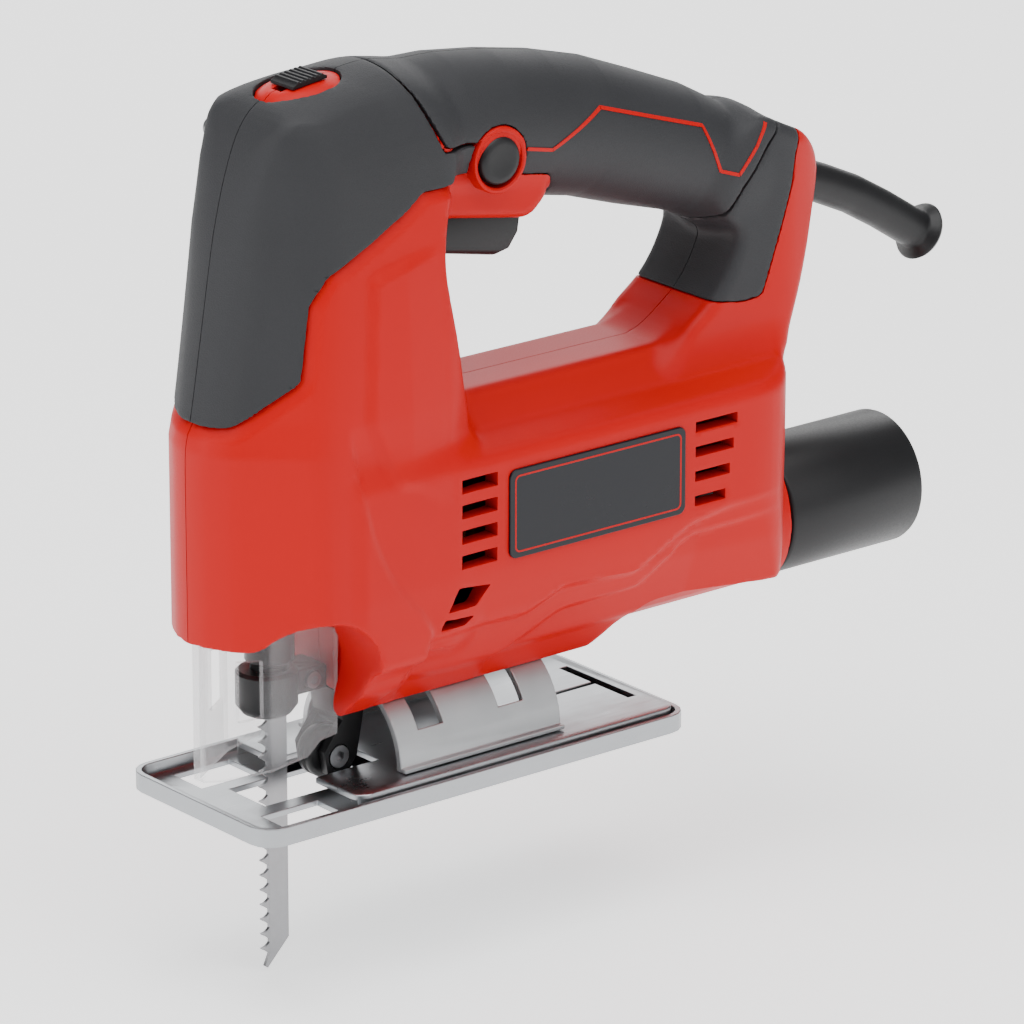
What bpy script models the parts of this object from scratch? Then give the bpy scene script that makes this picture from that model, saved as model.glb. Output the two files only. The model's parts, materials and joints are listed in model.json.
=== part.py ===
"""A corded electric jigsaw with a closed handle, as separate parts at their rest places.

Every size below is in millimetres. X runs from the blade's teeth (front) to the dust pipe (rear), Y across
the saw, Z up. The layout is drawn from the blade's line at x = 0 and the sole's underside at z = 0, and the
root empty then moves it so that the world's origin is the middle of the sole's underside.
"""

import math

import bmesh
import bpy
from mathutils import Matrix, Vector

MM = 0.001
GAP = 0.3          # seating gap between two neighbours
RUN = 0.5          # gap round a piece that moves

# Sole and tilt bracket
SOLE_FRONT = -25.5
SOLE_LENGTH = 138.0
SOLE_WIDTH = 59.0
SOLE_SHEET = 1.6
SOLE_RIM = 4.9
SOLE_CORNER = 6.5
DECK_FRONT = 6.0
DECK_TOP = 6.0
DECK_MARGIN = 2.6
SLOT_FRONT = -9.0
SLOT_REAR = 25.0
SLOT_HALF = 7.6
WINDOW_FRONT = -14.0
WINDOW_REAR = 3.5
WINDOW_SIDES = (12.5, 24.5)
TILT_Z = 6.6
TILT_LIMIT = 45.0
VAULT_RADIUS = 20.7
VAULT_SHEET = 2.0
VAULT_X = (24.0, 76.0)
VAULT_SLOTS = (35.2, 61.2)
VAULT_SLOT_WIDTH = 8.0
VAULT_SLOT_HALF_ANGLE = 63.5
CLAMP_PLATE = (5.0, 2.4)
TILT_SCREW_RADIUS = 2.5
TILT_SCREW_TOP = 34.0

# Housing
WALL = 3.2
GRIP = 1.6
HALF_WIDTH = 29.7
NOSE_FRONT = -27.5
NOSE_FLOOR = 47.0
NOSE_CREASE = (-21.7, 14.0)
NOSE_CHEEK = -4.8
BODY_TOP = 99.6
BODY_FLOOR = 21.3
BODY_REAR = 157.0
SEAT_HALF = 10.0
BAY_CENTRE = (-4.0, 38.0)
BAY_RADIUS = 16.0
BAY_REAR = 9.5
CLAMP_BAY = (14.0, 11.7, 50.5)
HANDLE_RADIUS = 18.0
PILLAR_HALF = 17.0
TRIGGER_BOX_HALF = 15.0
SCREW_RADIUS = 1.8
SCREW_HEAD = (3.1, 2.2)
SCREW_DEPTH = 9.0
SCREW_PLACES = (
    (-15.5, 78.0, 13.5), (-4.0, 172.0, 16.0), (33.0, 125.0, 19.0), (100.0, 156.0, 12.0), (158.0, 119.0, 12.0),
    (146.0, 84.0, 20.0),
)
BOSS_RADIUS = 5.2

# Dust pipe
PIPE_Z = 42.5
PIPE_RADIUS = 18.3
ADAPTER_RADIUS = 18.0
ADAPTER_BORE = 16.2
ADAPTER_LENGTH = 45.5
SPIGOT_RADIUS = 15.2
SPIGOT_LENGTH = 18.0

# Blade drive
BLADE_BACK = 3.2
BLADE_WIDTH = 6.1
BLADE_THICK = 1.2
BLADE_TIP = -46.0
TOOTH_PITCH = 4.0
TOOTH_DEPTH = 2.4
PLUNGER_X = -1.6
DRUM_X = -2.6
PLUNGER_RADIUS = 4.0
PLUNGER_TOP = 156.5
STROKE = 18.0
DRUM_RADIUS = 8.0
DRUM_Z = (22.8, 35.0)
SLEEVE_RADIUS = 6.4
CRANK_Z = 88.0
CRANK_X = 14.0
CRANK_THICK = 6.0
CRANK_TEETH = 44
PINION_TEETH = 8
MODULE = 1.02
MOTOR_X = (52.0, 96.0)
SHAFT_RADIUS = 4.0
SHAFT_END = 132.0
CORE_RADIUS = 15.0
STATOR_RADIUS = 24.0
FAN_X = 38.0
FAN_RADIUS = 22.0
FAN_BLADES = 12
BEARING_RADIUS = 9.5
BEARING_WIDTH = 6.0
CARRIER_X = (26.0, 33.0)
COMMUTATOR_X = (103.0, 117.0)
COMMUTATOR_RADIUS = 10.5

# Controls and small parts
TRIGGER_X = (37.3, 73.0)
TRIGGER_HALF = 9.0
TRIGGER_TRAVEL = 4.5
BUTTON_PLACE = (57.5, 160.3)
BUTTON_RADIUS = 6.6
BUTTON_TRAVEL = 3.0
SLIDER_PLACE = (8.0, 186.0)
SLIDER_TRAVEL = 5.0
ROLLER_PLACE = (15.4, 8.6)
ROLLER_RADIUS = 6.9
ROLLER_HALF = 3.2
PLATE_X = (52.0, 109.6)
PLATE_Z = (59.5, 83.0)
PLATE_THICK = 0.9
BOOT_RADIUS = 5.4
BOOT_BORE = 3.6
BOOT_FLANGE = 8.0
GUARD_HALF = 10.0
GUARD_SHEET = 1.4
GUARD_TOP = 49.5

SOLE_REAR = SOLE_FRONT + SOLE_LENGTH
SOLE_HALF = SOLE_WIDTH / 2
PINION_RADIUS = MODULE * PINION_TEETH / 2
CRANK_RADIUS = MODULE * CRANK_TEETH / 2
MOTOR_Z = CRANK_Z - CRANK_RADIUS - PINION_RADIUS - 0.35

FINISHES = {
    "red_plastic": ((0.62, 0.012, 0.008), 0.38, 0.0),
    "soft_grip": ((0.035, 0.035, 0.038), 0.75, 0.0),
    "black_plastic": ((0.012, 0.012, 0.014), 0.45, 0.0),
    "black_steel": ((0.015, 0.015, 0.016), 0.4, 0.6),
    "zinc_sheet": ((0.55, 0.57, 0.6), 0.35, 1.0),
    "steel": ((0.5, 0.5, 0.52), 0.3, 1.0),
    "clear_plastic": ((0.9, 0.9, 0.9), 0.05, 0.0),
    "aluminium": ((0.7, 0.71, 0.73), 0.4, 1.0),
    "brass": ((0.75, 0.55, 0.2), 0.35, 1.0),
    "copper": ((0.7, 0.3, 0.15), 0.35, 1.0),
    "carbon": ((0.03, 0.03, 0.03), 0.7, 0.0),
    "plate_black": ((0.01, 0.012, 0.02), 0.3, 0.0),
}


# --- Scene and modelling helpers -------------------------------------------------------------------------


def clear_scene():
    for obj in list(bpy.data.objects):
        bpy.data.objects.remove(obj, do_unlink=True)


def collection(name):
    made = bpy.data.collections.new(name)
    bpy.context.scene.collection.children.link(made)
    return made


def finish(name):
    if name in bpy.data.materials:
        return bpy.data.materials[name]
    colour, roughness, metallic = FINISHES[name]
    made = bpy.data.materials.new(name)
    made.use_nodes = True
    shader = made.node_tree.nodes["Principled BSDF"]
    shader.inputs["Base Color"].default_value = (*colour, 1.0)
    shader.inputs["Roughness"].default_value = roughness
    shader.inputs["Metallic"].default_value = metallic
    return made


def tool_object(data):
    """A helper solid in the cutters' collection, left out of renders until it becomes a part."""
    obj = bpy.data.objects.new("tool", data)
    obj.hide_render = True
    obj.display_type = "WIRE"
    bpy.data.collections["jigsaw_cutters"].objects.link(obj)
    return obj


def solid_from(mesh_maker):
    bm = bmesh.new()
    mesh_maker(bm)
    mesh = bpy.data.meshes.new("solid")
    bm.to_mesh(mesh)
    bm.free()
    return tool_object(mesh)


def settle(obj):
    """Applies the object's modifiers or its curve, and its place, to a plain welded mesh."""
    bpy.context.view_layer.update()
    graph = bpy.context.evaluated_depsgraph_get()
    mesh = bpy.data.meshes.new_from_object(obj.evaluated_get(graph))
    bm = bmesh.new()
    bm.from_mesh(mesh)
    bmesh.ops.remove_doubles(bm, verts=bm.verts, dist=1e-6)
    bmesh.ops.dissolve_degenerate(bm, edges=bm.edges, dist=1e-7)
    bmesh.ops.recalc_face_normals(bm, faces=bm.faces)
    bm.to_mesh(mesh)
    bm.free()
    mesh.transform(obj.matrix_world)
    made = tool_object(mesh)
    bpy.data.objects.remove(obj, do_unlink=True)
    return made


def boolean(obj, other, operation):
    modifier = obj.modifiers.new("cut", "BOOLEAN")
    modifier.operation = operation
    modifier.solver = "EXACT"
    modifier.object = other
    made = settle(obj)
    bpy.data.objects.remove(other, do_unlink=True)
    return made


def cut(obj, *cutters):
    for cutter in cutters:
        obj = boolean(obj, cutter, "DIFFERENCE")
    return obj


def join(obj, *others):
    for other in others:
        obj = boolean(obj, other, "UNION")
    return obj


def keep(obj, *others):
    for other in others:
        obj = boolean(obj, other, "INTERSECT")
    return obj


def copy(obj):
    return tool_object(obj.data.copy())


def bevel(obj, width, segments=2, angle=50.0):
    modifier = obj.modifiers.new("edge", "BEVEL")
    modifier.width = width * MM
    modifier.segments = segments
    modifier.limit_method = "ANGLE"
    modifier.angle_limit = math.radians(angle)
    return settle(obj)


def block(x, y, z):
    size = [(high - low) * MM for low, high in (x, y, z)]
    middle = [(high + low) / 2 * MM for low, high in (x, y, z)]
    place = Matrix.Translation(middle) @ Matrix.Diagonal((*size, 1.0))
    return solid_from(lambda bm: bmesh.ops.create_cube(bm, size=1.0, matrix=place))


AXES = {
    "X": Matrix(((0, 0, 1), (1, 0, 0), (0, 1, 0))).to_4x4(),
    "Y": Matrix(((1, 0, 0), (0, 0, -1), (0, 1, 0))).to_4x4(),
    "Z": Matrix.Identity(4),
}


def point_on(axis, across, along):
    """A world point from the two sizes across an axis (in X, Y, Z order) and the one along it."""
    a, b = across
    return Vector({"X": (along, a, b), "Y": (a, along, b), "Z": (a, b, along)}[axis]) * MM


def bar(axis, across, span, radius, sides=24, end_radius=None):
    low, high = span
    place = Matrix.Translation(point_on(axis, across, (low + high) / 2)) @ AXES[axis]
    first, second = radius, radius if end_radius is None else end_radius
    if axis == "Y":
        first, second = second, first
    return solid_from(
        lambda bm: bmesh.ops.create_cone(
            bm, cap_ends=True, segments=sides, radius1=first * MM, radius2=second * MM,
            depth=(high - low) * MM, matrix=place,
        )
    )


def prism(outline, axis, span):
    """A flat outline thickened along an axis; the outline is in the two other axes, in X, Y, Z order."""
    data = bpy.data.curves.new("outline", "CURVE")
    data.dimensions = "2D"
    data.fill_mode = "BOTH"
    data.extrude = (span[1] - span[0]) / 2 * MM
    spline = data.splines.new("POLY")
    spline.points.add(len(outline) - 1)
    for point, (a, b) in zip(spline.points, outline):
        point.co = (a * MM, b * MM, 0.0, 1.0)
    spline.use_cyclic_u = True
    obj = tool_object(data)
    obj.matrix_world = Matrix.Translation(point_on(axis, (0, 0), sum(span) / 2)) @ AXES[axis]
    return settle(obj)


def turned(profile, axis, across, sides=32):
    """A profile of (radius, height) points, listed down its outer side, swept round an axis."""
    way = -1 if axis == "Y" else 1
    points = [(radius * MM, 0.0, way * height * MM) for radius, height in profile]
    mesh = bpy.data.meshes.new("profile")
    mesh.from_pydata(points, [(i, i + 1) for i in range(len(points) - 1)], [])
    obj = tool_object(mesh)
    obj.matrix_world = Matrix.Translation(point_on(axis, across, 0.0)) @ AXES[axis]
    modifier = obj.modifiers.new("turn", "SCREW")
    modifier.steps = modifier.render_steps = sides
    modifier.use_merge_vertices = True
    modifier.merge_threshold = 1e-6
    return settle(obj)


def ring(axis, across, span, outer, inner, sides=32):
    low, high = span
    profile = [(inner, low), (inner, high), (outer, high), (outer, low), (inner, low)]
    return turned(profile, axis, across, sides)


def tube(points, radius, radii=None, resolution=3):
    """A round bar along a polyline, with an optional share of the radius at each point."""
    data = bpy.data.curves.new("path", "CURVE")
    data.dimensions = "3D"
    data.bevel_depth = radius * MM
    data.bevel_resolution = resolution
    data.use_fill_caps = True
    spline = data.splines.new("POLY")
    spline.points.add(len(points) - 1)
    for index, (x, y, z) in enumerate(points):
        spline.points[index].co = (x * MM, y * MM, z * MM, 1.0)
        spline.points[index].radius = radii[index] if radii else 1.0
    return settle(tool_object(data))


def smooth_path(points, steps):
    """Points along a smooth curve (Catmull-Rom) through the given ones."""
    ends = [points[0], *points, points[-1]]
    path = []
    for a, b, c, d in zip(ends, ends[1:], ends[2:], ends[3:]):
        for step in range(steps):
            t = step / steps
            path.append(tuple(
                0.5 * (2 * q + (r - p) * t + (2 * p - 5 * q + 4 * r - s) * t**2 + (3 * q - p - 3 * r + s) * t**3)
                for p, q, r, s in zip(a, b, c, d)
            ))
    return [*path, tuple(points[-1])]


def inset_outline(outline, distance):
    """The outline with every side moved inwards by a distance. The outline runs anticlockwise."""
    moved = []
    count = len(outline)
    for index in range(count):
        before, here, after = (Vector(outline[(index + step) % count]) for step in (-1, 0, 1))
        first = (here - before).normalized()
        second = (after - here).normalized()
        first_in = Vector((-first.y, first.x))
        second_in = Vector((-second.y, second.x))
        reach = distance / max(0.3, 1.0 + first_in.dot(second_in))
        moved.append(tuple(here + (first_in + second_in) * reach))
    return moved


def mirrored(half):
    """An outline symmetric about its second axis, from its half at y >= 0 listed front to rear."""
    return [(a, -b) for a, b in half] + [(a, b) for a, b in reversed(half) if b > 0]


def arc(centre, radius, start, end, steps):
    """Points on a circle, angles in degrees."""
    angles = [math.radians(start + (end - start) * step / steps) for step in range(steps + 1)]
    return [(centre[0] + radius * math.cos(a), centre[1] + radius * math.sin(a)) for a in angles]


def part(name, obj, finish_name, origin=(0.0, 0.0, 0.0)):
    """Turns a helper solid into a named part, with its own origin, under the root empty."""
    centre = Vector(origin) * MM
    obj.data.transform(Matrix.Translation(-centre))
    obj.name = obj.data.name = name
    obj.hide_render = False
    obj.display_type = "TEXTURED"
    obj.data.materials.clear()
    obj.data.materials.append(finish(finish_name))
    obj.data.shade_smooth()
    obj.data.set_sharp_from_angle(angle=math.radians(35))
    bpy.data.collections["jigsaw_cutters"].objects.unlink(obj)
    bpy.data.collections["jigsaw"].objects.link(obj)
    obj.parent = bpy.data.objects["jigsaw_origin"]
    obj.location = centre
    return obj


# --- Housing form ----------------------------------------------------------------------------------------

NOSE_SIDE = (
    (46.0, 40.0), (46.0, 95.0), (43.1, 105.0), (36.6, 134.6), (38.0, 148.0), (44.0, 165.0), (40.0, 182.0),
    (32.0, 187.1), (21.0, 187.6), (8.5, 186.0), (-3.2, 182.6), (-9.0, 177.0), (-13.3, 166.5),
    (-17.5, 150.5), (-25.4, 106.0), (NOSE_FRONT, 97.5), (NOSE_FRONT, 40.0),
)
BODY_SIDE = (
    (6.0, BODY_FLOOR), (88.3, BODY_FLOOR), (107.0, 30.6), (151.5, 30.6), (152.6, 74.7), (BODY_REAR, BODY_TOP),
    (6.0, BODY_TOP),
)
PILLAR_SIDE = (
    (126.0, 96.0), (158.0, 96.0), (162.2, 106.0), (165.4, 114.5), (168.5, 125.0), (171.3, 135.7),
    (169.6, 142.0), (164.3, 147.3), (156.9, 150.5), (146.0, 156.0), (132.0, 140.0), (134.0, 130.0),
    (139.9, 125.0), (135.7, 115.5), (130.4, 108.7), (122.0, 103.0),
)
TRIGGER_BOX_SIDE = ((34.0, 148.3), (71.0, 141.8), (77.0, 147.3), (77.0, 158.0), (34.0, 160.0))
HANDLE_LINE = (
    (30.0, 0.0, 166.5), (47.7, 0.0, 166.6), (63.6, 0.0, 164.9), (79.5, 0.0, 162.4), (95.4, 0.0, 158.7),
    (111.3, 0.0, 153.1), (127.2, 0.0, 147.6), (140.0, 0.0, 141.5),
)
HANDLE_SHARES = (1.08, 1.06, 1.05, 1.03, 1.0, 0.97, 0.92, 0.88)


def nose_form(inset):
    side = prism(inset_outline(NOSE_SIDE, inset), "Y", (-HALF_WIDTH - 5, HALF_WIDTH + 5))
    front = [(NOSE_FRONT, 0.0), (NOSE_FRONT + 1.2, 5.0), (NOSE_FRONT + 3.4, 10.0), NOSE_CREASE]
    plan = mirrored([*front, (NOSE_CHEEK, HALF_WIDTH - 1.1), (2.0, HALF_WIDTH), (36.0, 27.0), (50.0, 20.0)])
    upright = prism(inset_outline(plan, inset), "Z", (30.0, 200.0))
    top = [(-33.0, 30.0), (33.0, 30.0), (33.0, 85.0), (25.5, 150.0), (22.5, 172.0), (17.5, 182.0), (10.0, 187.0),
           (0.0, 188.5), (-10.0, 187.0), (-17.5, 182.0), (-22.5, 172.0), (-25.5, 150.0), (-33.0, 85.0)]
    shoulders = prism(inset_outline(top, inset), "X", (-60.0, 60.0))
    return keep(side, upright, shoulders)


def body_form(inset):
    side = prism(inset_outline(BODY_SIDE, inset), "Y", (-HALF_WIDTH - 5, HALF_WIDTH + 5))
    half = [(0.0, BODY_TOP + 5), (8.5, BODY_TOP + 5), (13.5, 97.0), (19.5, 91.5), (27.5, 88.6), (HALF_WIDTH, 86.4),
            (HALF_WIDTH, 58.0), (27.0, 45.0), (21.7, 30.0), (SEAT_HALF, BODY_FLOOR - 1.8), (0.0, BODY_FLOOR - 1.8)]
    outline = [(-y, z) for y, z in half] + [(y, z) for y, z in reversed(half) if y > 0]
    section = prism(inset_outline(outline, inset), "X", (-10.0, 170.0))
    plan = mirrored([(-10.0, HALF_WIDTH + 1), (138.0, HALF_WIDTH + 1), (148.0, 25.5), (154.5, 15.0), (160.0, 0.0)])
    return keep(side, section, prism(inset_outline(plan, inset), "Z", (0.0, 130.0)))


def pillar_form(inset):
    form = prism(inset_outline(PILLAR_SIDE, inset), "Y", (-PILLAR_HALF + inset, PILLAR_HALF - inset))
    corners = [(100.0, 20.0), (136.0, PILLAR_HALF + 1), (155.0, PILLAR_HALF + 1), (175.0, 9.0), (175.0, 0.0)]
    return keep(form, prism(inset_outline(mirrored([(100.0, 0.0), *corners]), inset), "Z", (80.0, 170.0)))


def trigger_box_form(inset):
    half = TRIGGER_BOX_HALF - inset
    return prism(inset_outline(TRIGGER_BOX_SIDE, inset), "Y", (-half, half))


def handle_form(inset):
    radii = [share - inset / HANDLE_RADIUS for share in HANDLE_SHARES]
    return tube(smooth_path(HANDLE_LINE, 2), HANDLE_RADIUS, smooth_shares(radii, 2), 3)


def smooth_shares(shares, steps):
    pairs = zip(shares, shares[1:])
    return [a + (b - a) * step / steps for a, b in pairs for step in range(steps)] + [shares[-1]]


def bay_form(inset):
    """The blade's bay under the nose, which is open below and to both sides."""
    arch = bar("Y", BAY_CENTRE, (-40.0, 40.0), BAY_RADIUS + inset, 32)
    floor = block((-60.0, BAY_REAR + inset), (-41.0, 41.0), (-10.0, BAY_CENTRE[1] + 1.1))
    front = block((-61.0, BAY_CENTRE[0] - 1.3), (-42.0, 42.0), (-11.0, NOSE_FLOOR + inset))
    x, y, z = (size + inset for size in CLAMP_BAY)
    return join(arch, floor, front, block((BAY_CENTRE[0] + 1.7, x), (-y, y), (0.0, z)))


def seat_form(inset):
    return bar("X", (0.0, TILT_Z), (0.0, 110.0), VAULT_RADIUS + GAP + inset, 48)


def saw_form(inset):
    """The closed form of the housing with its grips, drawn inwards by inset."""
    form = join(
        nose_form(inset), body_form(inset), handle_form(inset), pillar_form(inset), trigger_box_form(inset)
    )
    form = join(form, bar("X", (0.0, PIPE_Z), (96.0, BODY_REAR - inset), PIPE_RADIUS - inset, 40))
    return cut(form, bay_form(inset), seat_form(inset))


# --- Grips -----------------------------------------------------------------------------------------------

NOSE_GRIP_SIDE = (
    (-50.0, 102.3), (-21.7, 104.5), (-8.2, 116.5), (-5.3, 136.3), (-0.6, 142.8), (23.1, 154.1), (32.0, 162.0),
    (35.7, 168.0), (33.0, 174.4), (30.0, 184.0), (29.0, 210.0), (-50.0, 210.0),
)
HANDLE_GRIP_SIDE = (
    (36.3, 168.0), (48.5, 166.5), (51.5, 170.0), (57.5, 172.2), (64.0, 169.5), (68.0, 161.0), (69.0, 155.5),
    (76.0, 153.4), (79.5, 148.0), (81.0, 130.0), (124.0, 116.0), (139.0, 138.0), (150.0, 150.0),
    (158.0, 160.0), (158.0, 210.0), (29.6, 210.0), (30.6, 184.0), (33.6, 174.4),
)
REAR_GRIP_SIDE = (
    (100.0, 109.5), (130.4, 108.7), (141.0, 107.0), (146.6, 107.7), (157.0, 136.0), (158.0, 143.0), (161.0, 151.0),
    (159.0, 159.0), (150.6, 149.6), (139.6, 137.6), (126.0, 118.0), (100.0, 126.0),
)
GRIPS = {"nose_grip": NOSE_GRIP_SIDE, "handle_grip": HANDLE_GRIP_SIDE, "rear_grip": REAR_GRIP_SIDE}


def grip_region(name, margin):
    """The space a grip fills, seen from the side, grown by margin; the nose's leaves out the blower island."""
    region = prism(inset_outline(GRIPS[name], -margin), "Y", (-50.0, 50.0))
    if name != "nose_grip":
        return region
    island = [(9.0 + (11.5 - margin) * math.cos(a), (9.5 - margin) * math.sin(a))
              for a in [math.tau * step / 24 for step in range(24)]]
    return cut(region, prism(island, "Z", (160.0, 230.0)))


def half_space(side, clearance):
    low, high = ((-90.0, -clearance) if side == "left" else (clearance, 90.0))
    return block((-100.0, 300.0), (low, high), (-100.0, 300.0))


def screw_hole(place):
    """A stepped hole from the right side; head is where the screw's head rests."""
    x, z, head = place
    shank = bar("Y", (x, z), (-SCREW_DEPTH - 1, head + 1), SCREW_RADIUS + GAP, 12)
    return join(shank, bar("Y", (x, z), (head - GAP, 60.0), SCREW_HEAD[0] + GAP, 16))


def housing_cuts():
    """The openings in the housing that its other pieces need."""
    x, z = BUTTON_PLACE
    return [
        bar("Z", (PLUNGER_X, 0.0), (40.0, 70.0), SLEEVE_RADIUS + RUN, 24),
        block((TRIGGER_X[0] - RUN, TRIGGER_X[1] + RUN), (-TRIGGER_HALF - RUN, TRIGGER_HALF + RUN), (128.0, 152.0)),
        bar("Y", (x, z), (-40.0, -8.0), BUTTON_RADIUS + RUN, 24),
        block((SLIDER_PLACE[0] - 7.5, SLIDER_PLACE[0] + 7.5), (-3.2, 3.2), (178.0, 200.0)),
        bar("X", (0.0, PIPE_Z), (BODY_REAR - SPIGOT_LENGTH - 6, BODY_REAR + 5), SPIGOT_RADIUS + GAP, 40),
        tube(smooth_path(BOOT_LINE, 3)[:8], BOOT_RADIUS + RUN, None, 3),
        *vent_cuts(),
        *[plate_pocket(side) for side in (-1, 1)],
        *[bar("Z", (x_place, 0.0), (20.0, 45.0), TILT_SCREW_RADIUS + GAP, 16) for x_place in VAULT_SLOTS],
    ]


def vent_cuts():
    cuts = []
    for row in range(4):
        z = 81.8 - 6.65 * row
        for side in (-1, 1):
            y = sorted((side * (HALF_WIDTH - WALL - 2), side * (HALF_WIDTH + 2)))
            cuts.append(block((37.0, 48.4), y, (z - 1.8, z + 1.8)))
            cuts.append(block((113.4, 127.5 - 1.2 * row), y, (z - 1.6, z + 1.2)))
    return cuts


def plate_pocket(side):
    y = sorted((side * (HALF_WIDTH - PLATE_THICK - GAP), side * (HALF_WIDTH + 5)))
    return block((PLATE_X[0] - GAP, PLATE_X[1] + GAP), y, (PLATE_Z[0] - GAP, PLATE_Z[1] + GAP))


def screw_boss(place):
    x, z, _ = place
    return bar("Y", (x, z), (-HALF_WIDTH + 4, HALF_WIDTH - 4), BOSS_RADIUS, 12)


def tilt_posts():
    """The pads that the two tilt screws are driven into."""
    return [block((x - 5.0, x + 5.0), (-8.0, 8.0), (BODY_FLOOR, TILT_SCREW_TOP + 2)) for x in VAULT_SLOTS]


def make_housing():
    outer = saw_form(0.0)
    bosses = join(*[screw_boss(place) for place in SCREW_PLACES], *tilt_posts())
    shell = cut(copy(outer), saw_form(WALL))
    shell = join(shell, keep(bosses, saw_form(WALL * 0.4)))
    skin = cut(outer, saw_form(GRIP))
    for name in GRIPS:
        shell = cut(shell, cut(grip_region(name, 0.0), saw_form(GRIP + GAP)))
    shell = cut(shell, *housing_cuts())
    shell = cut(shell, *[screw_hole(place) for place in SCREW_PLACES])
    for side in ("left", "right"):
        part(f"housing_{side}", keep(copy(shell), half_space(side, GAP / 2)), "red_plastic")
    bpy.data.objects.remove(shell, do_unlink=True)
    make_grips(skin)


def make_grips(skin):
    x, z = BUTTON_PLACE
    for name in GRIPS:
        whole = keep(copy(skin), grip_region(name, -GAP))
        if name == "handle_grip":
            whole = cut(whole, bar("Y", (x, z), (-60.0, 0.0), BUTTON_RADIUS + 2.4, 24))
        for side in ("left", "right"):
            part(f"{name}_{side}", keep(copy(whole), half_space(side, GAP / 2)), "soft_grip")
        bpy.data.objects.remove(whole, do_unlink=True)
    bpy.data.objects.remove(skin, do_unlink=True)


# --- Sole and tilt bracket -------------------------------------------------------------------------------


def rounded_rectangle(x, y, radius, steps=4):
    (x0, x1), (y0, y1) = x, y
    corners = ((x1 - radius, y1 - radius, 0), (x0 + radius, y1 - radius, 90),
               (x0 + radius, y0 + radius, 180), (x1 - radius, y0 + radius, 270))
    return [point for cx, cy, start in corners for point in arc((cx, cy), radius, start, start + 90, steps)]


def slot_block(clearance, z):
    half = SLOT_HALF - clearance
    return block((SLOT_FRONT + clearance, SLOT_REAR - clearance), (-half, half), z)


def make_sole():
    pivot = (0.0, 0.0, TILT_Z)
    tray = prism(
        rounded_rectangle((SOLE_FRONT, SOLE_REAR), (-SOLE_HALF, SOLE_HALF), SOLE_CORNER), "Z", (0.0, SOLE_RIM)
    )
    hollow = prism(
        rounded_rectangle(
            (SOLE_FRONT + SOLE_SHEET, SOLE_REAR - SOLE_SHEET),
            (-SOLE_HALF + SOLE_SHEET, SOLE_HALF - SOLE_SHEET), SOLE_CORNER - SOLE_SHEET,
        ), "Z", (SOLE_SHEET, SOLE_RIM + 5),
    )
    windows = [
        block((WINDOW_FRONT, WINDOW_REAR), sorted((side * WINDOW_SIDES[0], side * WINDOW_SIDES[1])), (-5, 5))
        for side in (-1, 1)
    ]
    part("sole_plate", cut(tray, hollow, slot_block(0.0, (-5, 5)), *windows), "zinc_sheet", pivot)
    inner = SOLE_HALF - DECK_MARGIN
    deck = prism(
        rounded_rectangle((DECK_FRONT, SOLE_REAR - DECK_MARGIN), (-inner, inner), 4.0), "Z",
        (SOLE_SHEET + GAP, DECK_TOP),
    )
    deck = bevel(deck, 1.6, 2)
    under = block((DECK_FRONT - 5, SOLE_REAR - DECK_MARGIN - 2), (-inner + 2, inner - 2), (0, DECK_TOP - 1.6))
    cross = block((104.0, 106.5), (-14.0, 14.0), (0.0, 10.0))
    groove = block((VAULT_X[1] + 8, 104.5), (-0.8, 0.8), (0.0, 10.0))
    deck = cut(deck, under, cross, groove, slot_block(-1.0, (-5, 12)))
    part("sole_deck", deck, "zinc_sheet", pivot)


def make_bracket():
    outer = [(y, z) for y, z in arc((0.0, TILT_Z), VAULT_RADIUS, 0.0, 180.0, 24)]
    inner = [(y, z) for y, z in arc((0.0, TILT_Z), VAULT_RADIUS - VAULT_SHEET, 180.0, 0.0, 24)]
    foot = DECK_TOP + GAP
    reach = VAULT_RADIUS + 1.6
    flange = foot + 1.2
    outline = [(reach, foot), (reach, flange), (VAULT_RADIUS, flange), *outer[2:-2], (-VAULT_RADIUS, flange),
               (-reach, flange), (-reach, foot), (-VAULT_RADIUS + VAULT_SHEET, foot), *inner[1:-1],
               (VAULT_RADIUS - VAULT_SHEET, foot)]
    vault = prism(outline, "X", VAULT_X)
    for x in VAULT_SLOTS:
        half = math.radians(VAULT_SLOT_HALF_ANGLE)
        reach = VAULT_RADIUS * 2
        wedge = prism(
            [(0.0, TILT_Z), (reach * math.sin(half), TILT_Z + reach * math.cos(half)), (0.0, TILT_Z + reach),
             (-reach * math.sin(half), TILT_Z + reach * math.cos(half))],
            "X", (x - VAULT_SLOT_WIDTH / 2, x + VAULT_SLOT_WIDTH / 2),
        )
        vault = cut(vault, wedge)
    part("tilt_bracket", vault, "zinc_sheet", (0.0, 0.0, TILT_Z))


def make_tilt_clamp():
    half, thick = CLAMP_PLATE
    reach = VAULT_RADIUS - VAULT_SHEET - RUN
    top = TILT_Z + math.sqrt(reach**2 - half**2)
    plate = block((VAULT_X[0] + 4, VAULT_X[1] - 4), (-half, half), (top - thick, top))
    holes = [bar("Z", (x, 0.0), (0.0, 60.0), TILT_SCREW_RADIUS + GAP, 16) for x in VAULT_SLOTS]
    part("tilt_clamp_plate", cut(plate, *holes), "steel")
    for number, x in enumerate(VAULT_SLOTS, 1):
        low = top - thick - GAP
        head = 4.2
        profile = [(0.0, TILT_SCREW_TOP), (TILT_SCREW_RADIUS - 0.5, TILT_SCREW_TOP), (TILT_SCREW_RADIUS, TILT_SCREW_TOP - 1),
                   (TILT_SCREW_RADIUS, low), (head, low), (head, low - 3.6), (0.0, low - 3.6)]
        screw = turned(profile, "Z", (x, 0.0), 16)
        part(f"tilt_screw_{number}", cut(screw, bar("Z", (x, 0.0), (0.0, low - 1.4), 2.0, 6)), "steel")


# --- Blade, plunger and guide ----------------------------------------------------------------------------


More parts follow.
